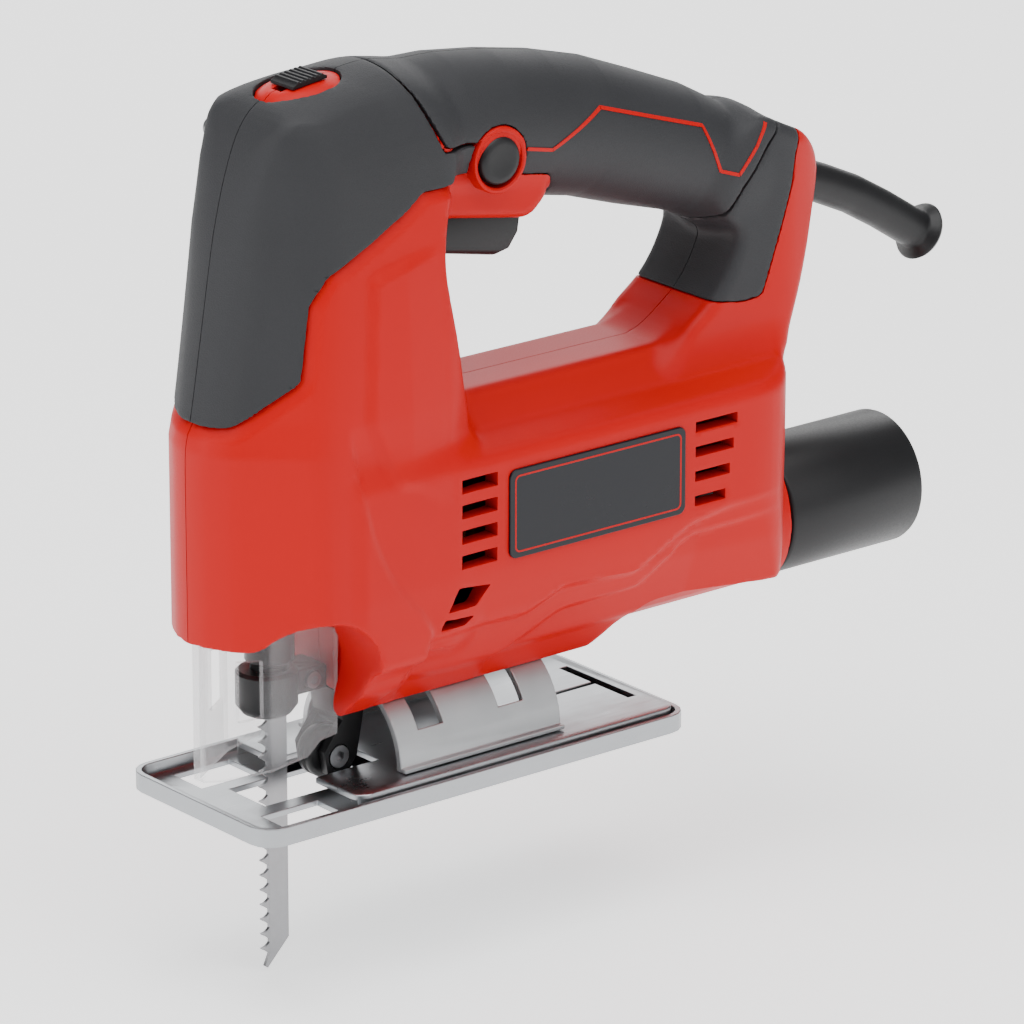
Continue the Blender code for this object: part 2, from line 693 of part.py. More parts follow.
def blade_outline():
    front = BLADE_BACK - BLADE_WIDTH
    outline = [(BLADE_BACK, BLADE_TIP + 5.0), (BLADE_BACK, DRUM_Z[0] + 4), (2.4, DRUM_Z[0] + 6),
               (2.4, 34.0), (-2.4, 34.0), (-2.4, DRUM_Z[0] + 6), (front, DRUM_Z[0] + 4)]
    teeth = int((DRUM_Z[0] - 4 - BLADE_TIP) / TOOTH_PITCH)
    for tooth in range(teeth):
        z = DRUM_Z[0] - 4 - tooth * TOOTH_PITCH
        outline += [(front, z), (front - TOOTH_DEPTH, z - 2.5), (front - TOOTH_DEPTH + 0.5, z - 3.4)]
        outline += [(front, z - 2.9)]
    return [*outline, (front, BLADE_TIP + 1.5), (front + 0.8, BLADE_TIP)]


def make_blade():
    pivot = (PLUNGER_X, 0.0, 0.0)
    solid = prism(list(reversed(blade_outline())), "Y", (-BLADE_THICK / 2, BLADE_THICK / 2))
    part("blade", solid, "steel", pivot)
    top = DRUM_Z[1]
    bore = PLUNGER_RADIUS + GAP
    sleeve = [
        (0.0, top + 3.5), (bore, top + 3.5), (bore, top + 13.0), (SLEEVE_RADIUS, top + 13.0),
        (SLEEVE_RADIUS, top + 2.4), (SLEEVE_RADIUS - 1.4, top + 1.6), (SLEEVE_RADIUS - 1.4, top - 4), (0.0, top - 4),
    ]
    profile = [
        (0.0, top), (DRUM_RADIUS - 0.8, top), (DRUM_RADIUS, top - 0.8), (DRUM_RADIUS, DRUM_Z[0] + 3),
        (DRUM_RADIUS - 1.6, DRUM_Z[0] + 0.8), (DRUM_RADIUS - 3.2, DRUM_Z[0]), (0.0, DRUM_Z[0]),
    ]
    drum = join(turned(profile, "Z", (DRUM_X, 0.0), 24), turned(sleeve, "Z", (PLUNGER_X, 0.0), 24))
    rear = bevel(block((-2.0, 12.7), (-5.3, 5.3), (27.5, 34.0)), 0.8, 2)
    slot = block((-4.5, BLADE_BACK + GAP), (-BLADE_THICK / 2 - GAP, BLADE_THICK / 2 + GAP), (20.0, 34.3))
    screws = [bar("Y", (8.0, 30.8), sorted((side * 2.5, side * 8.0)), 2.6, 16) for side in (-1, 1)]
    clamp = cut(join(drum, rear), slot, *screws)
    part("blade_clamp", clamp, "black_steel", pivot)
    for name, side in (("clamp_screw_left", -1), ("clamp_screw_right", 1)):
        screw = bar("Y", (8.0, 30.8), sorted((side * 2.8, side * 5.9)), 2.2, 16)
        key = bar("Y", (8.0, 30.8), sorted((side * 4.4, side * 7.0)), 1.2, 6)
        part(name, cut(screw, key), "steel", pivot)
    rod = bar("Z", (PLUNGER_X, 0.0), (top + 3.8, PLUNGER_TOP), PLUNGER_RADIUS, 24)
    part("plunger", bevel(rod, 0.6, 1), "steel", pivot)
    yoke = block((-8.5, 9.0), (-14.5, 14.5), (CRANK_Z - 8.0, CRANK_Z + 8.0))
    track = block((3.2, 9.5), (-12.4, 12.4), (CRANK_Z - 3.2, CRANK_Z + 3.2))
    bore = bar("Z", (PLUNGER_X, 0.0), (50.0, 120.0), PLUNGER_RADIUS + GAP, 24)
    part("plunger_yoke", cut(yoke, track, bore), "steel", pivot)


def make_bushes():
    x = PLUNGER_X
    for name, low, rear in (("lower_bush", 59.6, CRANK_X - 1.5), ("upper_bush", 124.0, 24.0)):
        part(name, ring("Z", (x, 0.0), (low, low + 10.0), 7.5, PLUNGER_RADIUS + 0.08, 24), "brass")
        frame = block((x - 11.0, rear), (-12.0, 12.0), (low + 1.0, low + 9.0))
        frame = cut(frame, bar("Z", (x, 0.0), (low - 5, low + 15), 7.5 + GAP, 24))
        part(name.replace("bush", "bush_mount"), frame, "aluminium")


def make_guard():
    centre_line = [(11.1, GUARD_HALF + 0.6), (-8.5, GUARD_HALF - 0.6), (-19.0, 4.2), (-23.4, 1.6),
                   (-23.4, -1.6), (-19.0, -4.2), (-8.5, -GUARD_HALF + 0.6), (11.1, -GUARD_HALF - 0.6)]
    half = GUARD_SHEET / 2
    outer = inset_outline([*centre_line, (30.0, 0.0)], half)
    inner = inset_outline([*centre_line, (30.0, 0.0)], -half)
    inner[-1] = (40.0, 0.0)
    outer[-1] = (25.0, 0.0)
    shell = cut(prism(inner, "Z", (9.5, GUARD_TOP)), prism(outer, "Z", (0.0, GUARD_TOP + 10)))
    side = [(-30.0, 9.6), (-19.0, 9.8), (2.0, 13.0), (6.0, 16.6), (11.0, 17.4), (11.4, 45.5), (-2.0, GUARD_TOP),
            (-11.0, GUARD_TOP), (-17.5, 46.0), (-30.0, 46.0)]
    shell = keep(shell, prism(side, "Y", (-20.0, 20.0)))
    window = prism([(-16.0, 25.0), (-10.5, 26.0), (-10.5, 41.0), (-16.0, 41.0)], "Y", (-20.0, 20.0))
    part("blade_guard", cut(shell, window), "clear_plastic")


def make_roller():
    x, z = ROLLER_PLACE
    profile = [(2.0, -ROLLER_HALF), (2.0, ROLLER_HALF), (ROLLER_RADIUS, ROLLER_HALF), (ROLLER_RADIUS, 0.9),
               (ROLLER_RADIUS - 1.6, 0.6), (ROLLER_RADIUS - 1.6, -0.6), (ROLLER_RADIUS, -0.9),
               (ROLLER_RADIUS, -ROLLER_HALF), (2.0, -ROLLER_HALF)]
    part("guide_roller", turned(profile, "Y", (x, z), 24), "black_steel", (x, 0.0, z))
    top = TILT_Z + VAULT_RADIUS - 1.4
    rear = VAULT_X[0] - 0.8
    side = [(x - 3.6, z - 4.2), (x + 3.2, z - 4.4), (x + 5.6, z - 1.0), (rear, 19.0), (rear, top), (x, top),
            (x + 1.2, z + 9.5), (x - 4.6, z + 2.0)]
    reach = ROLLER_HALF + 3.0
    arm = prism(side, "Y", (-reach, reach))
    fork = join(
        bar("Y", (x, z), (-ROLLER_HALF - RUN, ROLLER_HALF + RUN), ROLLER_RADIUS + 1.0, 32),
        block((x - 12.0, x + 1.0), (-ROLLER_HALF - RUN - 0.01, ROLLER_HALF + RUN + 0.01), (z - 8.9, z + 8.9)),
    )
    head = -reach + 1.5
    hole = join(bar("Y", (x, z), (-20.0, 20.0), 1.6 + GAP, 16), bar("Y", (x, z), (-21.0, head + GAP), 3.0 + GAP, 20))
    part("guide_arm", cut(arm, fork, hole), "black_steel")
    pin = join(bar("Y", (x, z), (head - 1, reach), 1.6, 16), bar("Y", (x, z), (-reach - 0.2, head), 3.0, 20))
    part("roller_pin", cut(pin, bar("Y", (x, z), (-20.0, head - 0.5), 1.5, 6)), "steel")


# --- Drive -----------------------------------------------------------------------------------------------


def gear_outline(centre, teeth, phase):
    """A toothed wheel's outline; teeth are narrow, so that the pair turns freely."""
    radius = MODULE * teeth / 2
    step = math.tau / teeth
    shape = ((-0.28, -1.15), (-0.13, 0.75), (0.13, 0.75), (0.28, -1.15))
    points = []
    for tooth in range(teeth):
        for share, height in shape:
            angle = (tooth + share) * step + phase
            reach = radius + height * MODULE
            points.append((centre[0] + reach * math.cos(angle), centre[1] + reach * math.sin(angle)))
    return points


def make_crank():
    centre = (0.0, CRANK_Z)
    pivot = (0.0, 0.0, CRANK_Z)
    wheel = prism(gear_outline(centre, CRANK_TEETH, -math.pi / 2), "X", (CRANK_X, CRANK_X + CRANK_THICK))
    hub = bar("X", centre, (CRANK_X + 1, CARRIER_X[0] - 1.0), 8.0, 24)
    pin = bar("X", (STROKE / 2, CRANK_Z), (9.0 + GAP, CRANK_X + 2), 2.7, 20)
    wheel = cut(join(wheel, hub, pin), bar("X", centre, (CRANK_X + 3, 60.0), SHAFT_RADIUS + GAP, 24))
    part("crank_gear", wheel, "steel", pivot)
    part("crank_axle", bar("X", centre, (CRANK_X + 3 + GAP, CARRIER_X[1] + 2), SHAFT_RADIUS, 24), "steel", pivot)


def make_carrier():
    """The cast plate between gears and motor, with a ball bearing for each shaft."""
    places = {"crank_bearing": CRANK_Z, "front_bearing": MOTOR_Z}
    plate = block(CARRIER_X, (-19.0, 19.0), (MOTOR_Z - 16.0, CRANK_Z + 14.0))
    for z in places.values():
        plate = cut(plate, bar("X", (0.0, z), (0.0, 60.0), BEARING_RADIUS + GAP, 24))
    part("gear_carrier", plate, "aluminium")
    for name, z in places.items():
        span = (CARRIER_X[0] + 0.5, CARRIER_X[0] + 0.5 + BEARING_WIDTH)
        part(name, ring("X", (0.0, z), span, BEARING_RADIUS, SHAFT_RADIUS + 0.06, 24), "steel")
    rear = (SHAFT_END - 6.5, SHAFT_END - 6.5 + BEARING_WIDTH)
    part("rear_bearing", ring("X", (0.0, MOTOR_Z), rear, BEARING_RADIUS, SHAFT_RADIUS + 0.06, 24), "steel")


def make_motor():
    centre = (0.0, MOTOR_Z)
    pivot = (0.0, 0.0, MOTOR_Z)
    shaft = bar("X", centre, (CRANK_X + CRANK_THICK + 2, SHAFT_END), SHAFT_RADIUS, 24)
    neck = bar("X", centre, (CRANK_X + CRANK_THICK, CRANK_X + CRANK_THICK + 3), PINION_RADIUS - 1.4, 24)
    phase = math.pi / 2 + math.pi / PINION_TEETH
    pinion = prism(gear_outline(centre, PINION_TEETH, phase), "X", (CRANK_X, CRANK_X + CRANK_THICK + 1))
    part("armature_shaft", join(shaft, neck, pinion), "steel", pivot)
    core = ring("X", centre, MOTOR_X, CORE_RADIUS, SHAFT_RADIUS + GAP, 40)
    part("armature_core", core, "steel", pivot)
    coil = CORE_RADIUS - 1.5
    for name, span in (("front_winding", (MOTOR_X[0] - 5.0, MOTOR_X[0] - GAP)),
                       ("rear_winding", (MOTOR_X[1] + GAP, MOTOR_X[1] + 5.0))):
        part(name, bevel(ring("X", centre, span, coil, SHAFT_RADIUS + GAP, 24), 1.0, 1), "copper", pivot)
    part("commutator", ring("X", centre, COMMUTATOR_X, COMMUTATOR_RADIUS, SHAFT_RADIUS + GAP, 24), "copper", pivot)
    stator = ring("X", centre, (MOTOR_X[0] - 1, MOTOR_X[1] + 1), STATOR_RADIUS, CORE_RADIUS + 0.8, 40)
    part("stator", stator, "steel")
    make_fan(centre, pivot)
    make_brushes()


def make_fan(centre, pivot):
    disc = bar("X", centre, (FAN_X, FAN_X + 1.6), FAN_RADIUS, 40)
    hub = bar("X", centre, (FAN_X, FAN_X + 6.5), 7.5, 24)
    fan = join(disc, hub)
    for index in range(FAN_BLADES):
        vane = block((FAN_X + 1.0, FAN_X + 6.5), (-0.6, 0.6), (7.0, FAN_RADIUS - 0.5))
        turn = Matrix.Rotation(math.tau * index / FAN_BLADES, 4, "X")
        vane.data.transform(Matrix.Translation((0.0, 0.0, MOTOR_Z * MM)) @ turn)
        fan = join(fan, vane)
    fan = cut(fan, bar("X", centre, (0.0, 60.0), SHAFT_RADIUS + GAP, 24))
    part("cooling_fan", fan, "black_plastic", pivot)


def make_brushes():
    x = (COMMUTATOR_X[0] + 3.0, COMMUTATOR_X[0] + 10.0)
    z = (MOTOR_Z - 2.6, MOTOR_Z + 2.6)
    start = COMMUTATOR_RADIUS + GAP
    for name, side in (("left", -1), ("right", 1)):
        brush = block(x, sorted((side * start, side * (start + 8.0))), z)
        part(f"brush_{name}", brush, "carbon")
        wall = GAP + 0.8
        holder = block((x[0] - wall, x[1] + wall), sorted((side * (start + 1.5), side * (start + 11.5))),
                       (z[0] - wall, z[1] + wall))
        hollow = block((x[0] - GAP, x[1] + GAP), sorted((side * start, side * (start + 10.0))),
                       (z[0] - GAP, z[1] + GAP))
        part(f"brush_holder_{name}", cut(holder, hollow), "brass")


# --- Controls, plates, boot and adapter ------------------------------------------------------------------


def make_controls():
    x0, x1 = TRIGGER_X
    half = TRIGGER_HALF
    side = [(x0, 137.6), (x1 - 9.0, 132.0), (x1 - 4.0, 133.0), (x1 - 1.0, 137.0), (x1, 143.5), (x0, 146.0)]
    lever = bevel(prism(side, "Y", (-half, half)), 1.4, 2)
    part("trigger", lever, "black_plastic", (50.0, 0.0, 140.0))
    turns = 4
    low, high = 147.2, 152.0
    coil = [(50.0 + 2.6 * math.cos(math.tau * step / 10), 2.6 * math.sin(math.tau * step / 10),
             low + (high - low) * step / (10 * turns)) for step in range(10 * turns + 1)]
    part("trigger_spring", tube(coil, 0.35, None, 1), "steel")
    switch = bevel(block((44.0, 70.0), (-7.0, 7.0), (152.8, 166.0)), 1.0, 1)
    part("switch_body", switch, "black_plastic")
    x, z = BUTTON_PLACE
    outer = -HANDLE_RADIUS - 1.4
    profile = [(0.0, -10.6), (3.0, -10.6), (3.0, -14.0), (BUTTON_RADIUS, -14.0), (BUTTON_RADIUS, outer + 1.6),
               (BUTTON_RADIUS - 0.6, outer + 0.6), (BUTTON_RADIUS - 2.0, outer), (0.0, outer - 0.4)]
    button = turned(profile, "Y", (x, z), 32)
    part("lock_button", button, "black_plastic", (x, outer, z))
    x, z = SLIDER_PLACE
    knob = bevel(block((x - 4.5, x + 2.5), (-5.0, 5.0), (z + 0.9, z + 2.3)), 0.5, 1)
    stem = block((x - 2.0, x), (-2.4, 2.4), (z - 6.0, z + 1.2))
    part("blower_slider", join(knob, stem), "black_plastic", (x, 0.0, z))


def make_plates():
    for name, side in (("left", -1), ("right", 1)):
        y = sorted((side * (HALF_WIDTH - PLATE_THICK + GAP), side * (HALF_WIDTH + 0.15)))
        plate = prism(rounded_rectangle(PLATE_X, PLATE_Z, 1.8, 3), "Y", y)
        part(f"name_plate_{name}", plate, "plate_black")


BOOT_LINE = ((163.0, 0.0, 134.0), (171.0, 0.0, 131.4), (180.0, 0.0, 127.8), (190.8, 0.0, 122.9),
             (201.4, 0.0, 116.8), (210.5, 0.0, 111.0), (216.5, 0.0, 107.4))


def make_boot():
    path = smooth_path(BOOT_LINE, 3)
    flare = BOOT_FLANGE / BOOT_RADIUS - 1
    shares = [1.0] * (len(path) - 4) + [1.0 + flare * share for share in (0.1, 0.4, 0.85, 1.0)]
    body = tube(path, BOOT_RADIUS, shares, 3)
    start, end = Vector(path[0]), Vector(path[-1])
    ahead = (end - Vector(path[-2])).normalized() * 4
    behind = (Vector(path[1]) - start).normalized() * 4
    widening = [1.0] * (len(path) - 2) + [1.1, 1.25, 1.35, 1.4]
    bore = tube([tuple(start - behind), *path, tuple(end + ahead)], BOOT_BORE, widening, 3)
    part("cable_boot", cut(body, bore), "black_plastic")


def make_adapter():
    start = BODY_REAR + GAP
    end = start + ADAPTER_LENGTH
    spigot_wall = 1.6
    profile = [
        (ADAPTER_BORE - 2.0, start + 1.5), (ADAPTER_BORE, start + 4.0), (ADAPTER_BORE, end),
        (ADAPTER_RADIUS - 0.6, end), (ADAPTER_RADIUS, end - 0.8), (ADAPTER_RADIUS, start + 0.8),
        (ADAPTER_RADIUS - 0.8, start), (SPIGOT_RADIUS, start), (SPIGOT_RADIUS, start - SPIGOT_LENGTH),
        (SPIGOT_RADIUS - spigot_wall, start - SPIGOT_LENGTH), (ADAPTER_BORE - 2.6, start),
        (ADAPTER_BORE - 2.0, start + 1.5),
    ]
    part("dust_adapter", turned(profile, "X", (0.0, PIPE_Z), 40), "black_plastic", (BODY_REAR, 0.0, PIPE_Z))


def make_screws():
    radius, height = SCREW_HEAD
    for number, (x, z, head) in enumerate(SCREW_PLACES, 1):
        shank = bar("Y", (x, z), (-SCREW_DEPTH, head + 1), SCREW_RADIUS, 12)
        screw = join(shank, bar("Y", (x, z), (head, head + height), radius, 16))
        part(f"housing_screw_{number}", cut(screw, bar("Y", (x, z), (head + 0.8, head + 9), 1.5, 6)), "steel")


def main():
    clear_scene()
    collection("jigsaw")
    collection("jigsaw_cutters").hide_render = True
    root = bpy.data.objects.new("jigsaw_origin", None)
    root.location = (-(SOLE_FRONT + SOLE_REAR) / 2 * MM, 0.0, 0.0)
    bpy.data.collections["jigsaw"].objects.link(root)
    make_housing()
    make_sole()
    make_bracket()
    make_tilt_clamp()
    make_blade()
    make_bushes()
    make_guard()
    make_roller()
    make_crank()
    make_carrier()
    make_motor()
    make_controls()
    make_plates()
    make_boot()
    make_adapter()
    make_screws()


main()
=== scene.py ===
"""The looks of a corded jigsaw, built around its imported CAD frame.

Outlines are in millimetres from the blade's line (x = 0) and the sole's underside (z = 0): x runs to the
rear, y across the saw, z up. Meshes are stored in metres in the frame's own axes.
"""

import json
import math

import bmesh
import bpy
import numpy as np
from mathutils import Matrix, Vector

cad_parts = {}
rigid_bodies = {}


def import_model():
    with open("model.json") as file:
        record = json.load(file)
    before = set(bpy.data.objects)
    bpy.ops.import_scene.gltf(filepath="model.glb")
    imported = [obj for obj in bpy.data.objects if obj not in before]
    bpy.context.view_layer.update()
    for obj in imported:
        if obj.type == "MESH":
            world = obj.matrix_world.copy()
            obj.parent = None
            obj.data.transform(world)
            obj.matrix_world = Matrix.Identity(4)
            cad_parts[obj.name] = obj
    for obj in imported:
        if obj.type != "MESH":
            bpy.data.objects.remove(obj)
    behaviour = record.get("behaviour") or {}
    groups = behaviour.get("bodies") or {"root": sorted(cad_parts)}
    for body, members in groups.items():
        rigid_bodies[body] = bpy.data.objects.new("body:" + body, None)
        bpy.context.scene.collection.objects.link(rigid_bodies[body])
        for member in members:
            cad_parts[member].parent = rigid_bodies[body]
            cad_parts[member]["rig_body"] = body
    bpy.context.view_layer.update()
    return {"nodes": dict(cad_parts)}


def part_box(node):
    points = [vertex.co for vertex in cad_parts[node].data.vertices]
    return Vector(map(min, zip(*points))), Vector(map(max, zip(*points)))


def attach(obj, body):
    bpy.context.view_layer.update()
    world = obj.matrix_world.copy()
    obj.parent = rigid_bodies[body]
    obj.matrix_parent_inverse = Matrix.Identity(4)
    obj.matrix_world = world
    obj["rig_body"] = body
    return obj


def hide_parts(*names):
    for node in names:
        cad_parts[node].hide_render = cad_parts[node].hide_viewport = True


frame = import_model()

bl_info = {
    "name": "Jigsaw looks",
    "version": (1, 0, 0),
    "blender": (4, 5, 0),
    "location": "View3D > Sidebar > Jigsaw",
    "description": "Builds the moulded shells, grips, metalwork and studio of a jigsaw round its frame",
    "category": "Object",
}

MM = 0.001
SOLE_FRONT = -25.5
BLADE_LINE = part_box("sole_plate")[0].x - SOLE_FRONT * MM
FLOOR_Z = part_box("blade")[0].z - 0.0012

# --- Sizes and colours a user would change ---------------------------------------------------------------


class SawSizes(bpy.types.PropertyGroup):
    shell_cell: bpy.props.FloatProperty(
        name="Shell cell", description="Spacing of the grid the housing is meshed on", default=0.001,
        min=0.0005, unit="LENGTH")
    grip_cell: bpy.props.FloatProperty(
        name="Grip cell", description="Spacing of the grid the grips are meshed on", default=0.0008,
        min=0.0005, unit="LENGTH")
    wall: bpy.props.FloatProperty(
        name="Wall", description="Thickness of the housing", default=0.0054, unit="LENGTH")
    grip_skin: bpy.props.FloatProperty(
        name="Grip skin", description="Thickness of the soft grip", default=0.0026, unit="LENGTH")
    seam: bpy.props.FloatProperty(
        name="Seam", description="Gap between a grip and the plastic round it", default=0.0003, unit="LENGTH")
    tooth_pitch: bpy.props.FloatProperty(
        name="Tooth pitch", description="Distance between two blade teeth", default=0.004, unit="LENGTH")


class SawColours(bpy.types.PropertyGroup):
    red: bpy.props.FloatVectorProperty(
        name="Red plastic", description="Colour of the housing", default=(0.48, 0.0002, 0.0006),
        subtype="COLOR", min=0, max=1)
    grip: bpy.props.FloatVectorProperty(
        name="Soft grip", description="Colour of the rubber", default=(0.022, 0.0225, 0.025),
        subtype="COLOR", min=0, max=1)
    zinc: bpy.props.FloatVectorProperty(
        name="Zinc", description="Colour of the plated sheet", default=(0.36, 0.375, 0.39),
        subtype="COLOR", min=0, max=1)


class StageSettings(bpy.types.PropertyGroup):
    azimuth: bpy.props.FloatProperty(
        name="Azimuth", description="Camera's turn about the saw", default=math.radians(-39.0),
        unit="ROTATION")
    elevation: bpy.props.FloatProperty(
        name="Elevation", description="Camera's height as an angle", default=math.radians(19.0),
        unit="ROTATION")
    distance: bpy.props.FloatProperty(
        name="Distance", description="From the camera to the point it looks at", default=1.7667,
        unit="LENGTH")
    lens: bpy.props.FloatProperty(
        name="Lens", description="Focal length in millimetres", default=246.09)
    softness: bpy.props.FloatProperty(
        name="Softness", description="Side of the soft boxes", default=1.2, unit="LENGTH")


# --- The housing's form as a signed distance, in millimetres ---------------------------------------------

NOSE_SIDE = (
    (46.0, 38.0), (46.0, 95.0), (43.1, 105.0), (36.6, 134.6), (38.0, 148.0), (44.0, 165.0), (40.0, 182.0),
    (32.0, 187.1), (21.0, 187.6), (8.5, 186.0), (-3.2, 182.6), (-9.0, 177.0), (-13.3, 166.5),
    (-17.5, 150.5), (-25.4, 106.0), (-27.5, 97.5), (-27.5, 38.0),
)
NOSE_PLAN = (
    (-27.5, 0.0), (-26.3, 5.0), (-24.1, 10.0), (-21.7, 14.0), (-4.8, 28.6), (2.0, 29.7), (36.0, 27.0),
    (50.0, 20.0), (50.0, -9.0), (-27.5, -9.0),
)
NOSE_TOP = (
    (33.0, 20.0), (33.0, 85.0), (25.5, 150.0), (22.5, 172.0), (17.5, 182.0), (10.0, 187.0), (0.0, 188.5),
    (-9.0, 188.5), (-9.0, 20.0),
)
BODY_SIDE = (
    (6.0, 21.3), (88.3, 21.3), (107.0, 30.6), (151.5, 30.6), (152.6, 74.7), (157.0, 99.6), (6.0, 99.6),
)
BODY_SECTION = (
    (0.0, 104.6), (8.5, 104.6), (13.5, 97.0), (19.5, 91.5), (27.5, 88.6), (29.7, 86.4), (29.7, 58.0),
    (27.0, 45.0), (21.7, 30.0), (10.0, 19.5), (-9.0, 19.5), (-9.0, 104.6),
)
BODY_PLAN = (
    (-10.0, 30.7), (138.0, 30.7), (148.0, 25.5), (154.5, 15.0), (160.0, 0.0), (160.0, -9.0), (-10.0, -9.0),
)
PILLAR_SIDE = (
    (126.0, 90.0), (156.0, 90.0), (158.0, 96.0), (162.2, 106.0), (165.4, 114.5), (168.5, 125.0),
    (171.3, 135.7), (169.6, 142.0), (164.3, 147.3), (156.9, 150.5), (146.0, 156.0), (132.0, 140.0),
    (134.0, 130.0), (139.9, 125.0), (135.7, 115.5), (130.4, 108.7), (122.0, 103.0), (112.0, 90.0),
)
PILLAR_PLAN = ((100.0, -9.0), (100.0, 20.0), (136.0, 18.0), (155.0, 18.0), (175.0, 9.0), (178.0, -9.0))
TRIGGER_BOX_SIDE = ((34.0, 148.3), (71.0, 141.8), (77.0, 147.3), (77.0, 158.0), (34.0, 160.0))
TRIGGER_BOX_HALF = 15.0
HANDLE_LINE = (
    (30.0, 166.5), (47.7, 166.6), (63.6, 164.9), (79.5, 162.4), (95.4, 158.7), (111.3, 153.1),
    (127.2, 147.6), (140.0, 141.5),
)
HANDLE_RADII = (19.4, 19.1, 18.9, 18.5, 18.0, 17.5, 16.6, 15.8)
PILLAR_HALF = 17.0
PIPE_Z = 42.5
PIPE_RADIUS = 18.3
SPIGOT_BORE = 15.6
PIPE_START = 96.0
PIPE_END = 157.0
ARCH = (-4.0, 38.0, 16.0)
CLAMP_BAY_X = (-2.3, 14.0)
CLAMP_BAY_HALF = 11.7
CLAMP_BAY_TOP = 50.5
SEAT_RADIUS = 21.0
SEAT_END = 110.0
TILT_Z = 6.6
LEAN_HEIGHTS = (97.5, 106.0, 150.5, 166.5, 177.0, 184.0)
NOSE_LEAN = (0.0, 2.1, 10.0, 14.2, 18.5, 23.0)
NOSE_GRIP_SIDE = (
    (-50.0, 102.3), (-21.7, 104.5), (-8.2, 116.5), (-5.3, 136.3), (-0.6, 142.8), (23.1, 154.1), (29.5, 158.4),
    (50.0, 158.2), (50.0, 165.6), (37.0, 166.4), (33.6, 174.4), (30.0, 184.0), (29.0, 210.0), (-50.0, 210.0),
)
HANDLE_GRIP_SIDE = (
    (38.2, 167.6), (49.0, 166.4), (57.5, 164.0), (60.0, 155.4), (66.0, 154.8), (76.0, 153.0),
    (79.5, 148.0), (81.0, 130.0), (124.0, 116.0), (139.0, 138.0), (150.0, 150.0), (158.0, 160.0),
    (158.0, 210.0), (29.6, 210.0), (30.6, 184.0), (34.6, 174.4),
)
REAR_GRIP_SIDE = (
    (100.0, 109.5), (130.4, 108.7), (141.0, 107.0), (146.6, 107.7), (157.0, 136.0), (158.0, 143.0),
    (161.0, 151.0), (159.0, 159.0), (150.6, 149.6), (139.6, 137.6), (126.0, 118.0), (100.0, 126.0),
)
PANEL_SIDE = (
    (7.4, 104.0), (10.3, 139.7), (13.0, 141.6), (24.0, 143.6), (60.0, 149.0), (60.0, 60.0), (22.0, 84.0),
    (16.5, 85.0),
)
CHEEK_SIDE = (
    (-60.0, 150.0), (2.0, 150.0), (0.6, 113.0), (3.8, 92.0), (7.0, 76.0), (14.4, 60.0), (28.2, 46.3),
    (27.0, 38.9), (21.8, 30.0), (10.0, 10.0), (-60.0, 10.0),
)
BELLY_SIDE = (
    (24.0, 0.0), (27.0, 43.8), (61.0, 42.5), (72.0, 48.0), (96.0, 46.0), (112.0, 56.0), (126.0, 58.5),
    (180.0, 60.0), (180.0, 0.0),
)
KEEL_SIDE = (
    (48.0, 0.0), (53.8, 29.8), (74.0, 40.3), (99.6, 40.8), (113.0, 52.0), (180.0, 56.0), (180.0, 0.0),
)
SLANTED_VENTS = (
    ((36.4, 55.1), (46.8, 53.9), (42.8, 48.8), (33.6, 49.1)),
    ((32.7, 47.0), (42.8, 46.2), (39.5, 44.3), (31.4, 44.5)),
)
GRIP_SIDES = {"nose": NOSE_GRIP_SIDE, "handle": HANDLE_GRIP_SIDE, "rear": REAR_GRIP_SIDE}
SCREW_PLACES = (
    (-15.5, 78.0, 13.5), (-4.0, 172.0, 16.0), (33.0, 125.0, 19.0), (100.0, 156.0, 12.0),
    (158.0, 119.0, 12.0), (146.0, 84.0, 20.0),
)
BUTTON_PLACE = (57.5, 160.3)
COLLAR_RADIUS = 8.5
WELL_RADIUS = 3.5
VENT_ROWS = 4
VENT_TOP = 81.8
VENT_PITCH = 6.65
SLIDER_MIDDLE = 9.0
ISLAND_RADII = (11.5, 9.5)
TRIGGER_MIDDLE = (55.0, 142.0)
TRIGGER_WELL_HALVES = (18.3, 9.6, 12.0)


def polygon_distance(u, v, corners):
    """Distance from each (u, v) to a closed outline, negative inside it."""
    nearest = np.full(np.broadcast(u, v).shape, 1e9)
    inside = np.zeros(nearest.shape, bool)
    for (start_u, start_v), (end_u, end_v) in zip(corners, corners[1:] + corners[:1]):
        run, rise = end_u - start_u, end_v - start_v
        share = np.clip(((u - start_u) * run + (v - start_v) * rise) / (run * run + rise * rise), 0, 1)
        nearest = np.minimum(nearest, np.hypot(u - start_u - share * run, v - start_v - share * rise))
        crossed = (start_v <= v) != (end_v <= v)
        inside ^= crossed & (u < start_u + (v - start_v) / (rise or 1e-9) * run)
    return np.where(inside, -nearest, nearest)


def softened(corners, reach):
    """The outline with each corner turned into a short curve that starts up to reach before it."""
    outline = []
    for before, corner, after in zip(corners[-1:] + corners[:-1], corners, corners[1:] + corners[:1]):
        before, corner, after = Vector(before), Vector(corner), Vector(after)
        start = corner + (before - corner).normalized() * min(reach, (before - corner).length * 0.45)
        end = corner + (after - corner).normalized() * min(reach, (after - corner).length * 0.45)
        for step in range(5):
            share = step / 4
            point = start.lerp(corner, share).lerp(corner.lerp(end, share), share)
            outline.append((point.x, point.y))
    return tuple(outline)


def meeting(a, b, radius):
    """Where both forms are, with the edge between them rounded."""
    round_part = np.hypot(np.maximum(radius + a, 0), np.maximum(radius + b, 0))
    return np.minimum(np.maximum(a, b), -radius) + round_part


def blended(a, b, radius):
    """Where either form is, with the corner between them filled by a fillet."""
    return -meeting(-a, -b, radius)


def without(a, b, radius):
    return meeting(a, -b, radius)


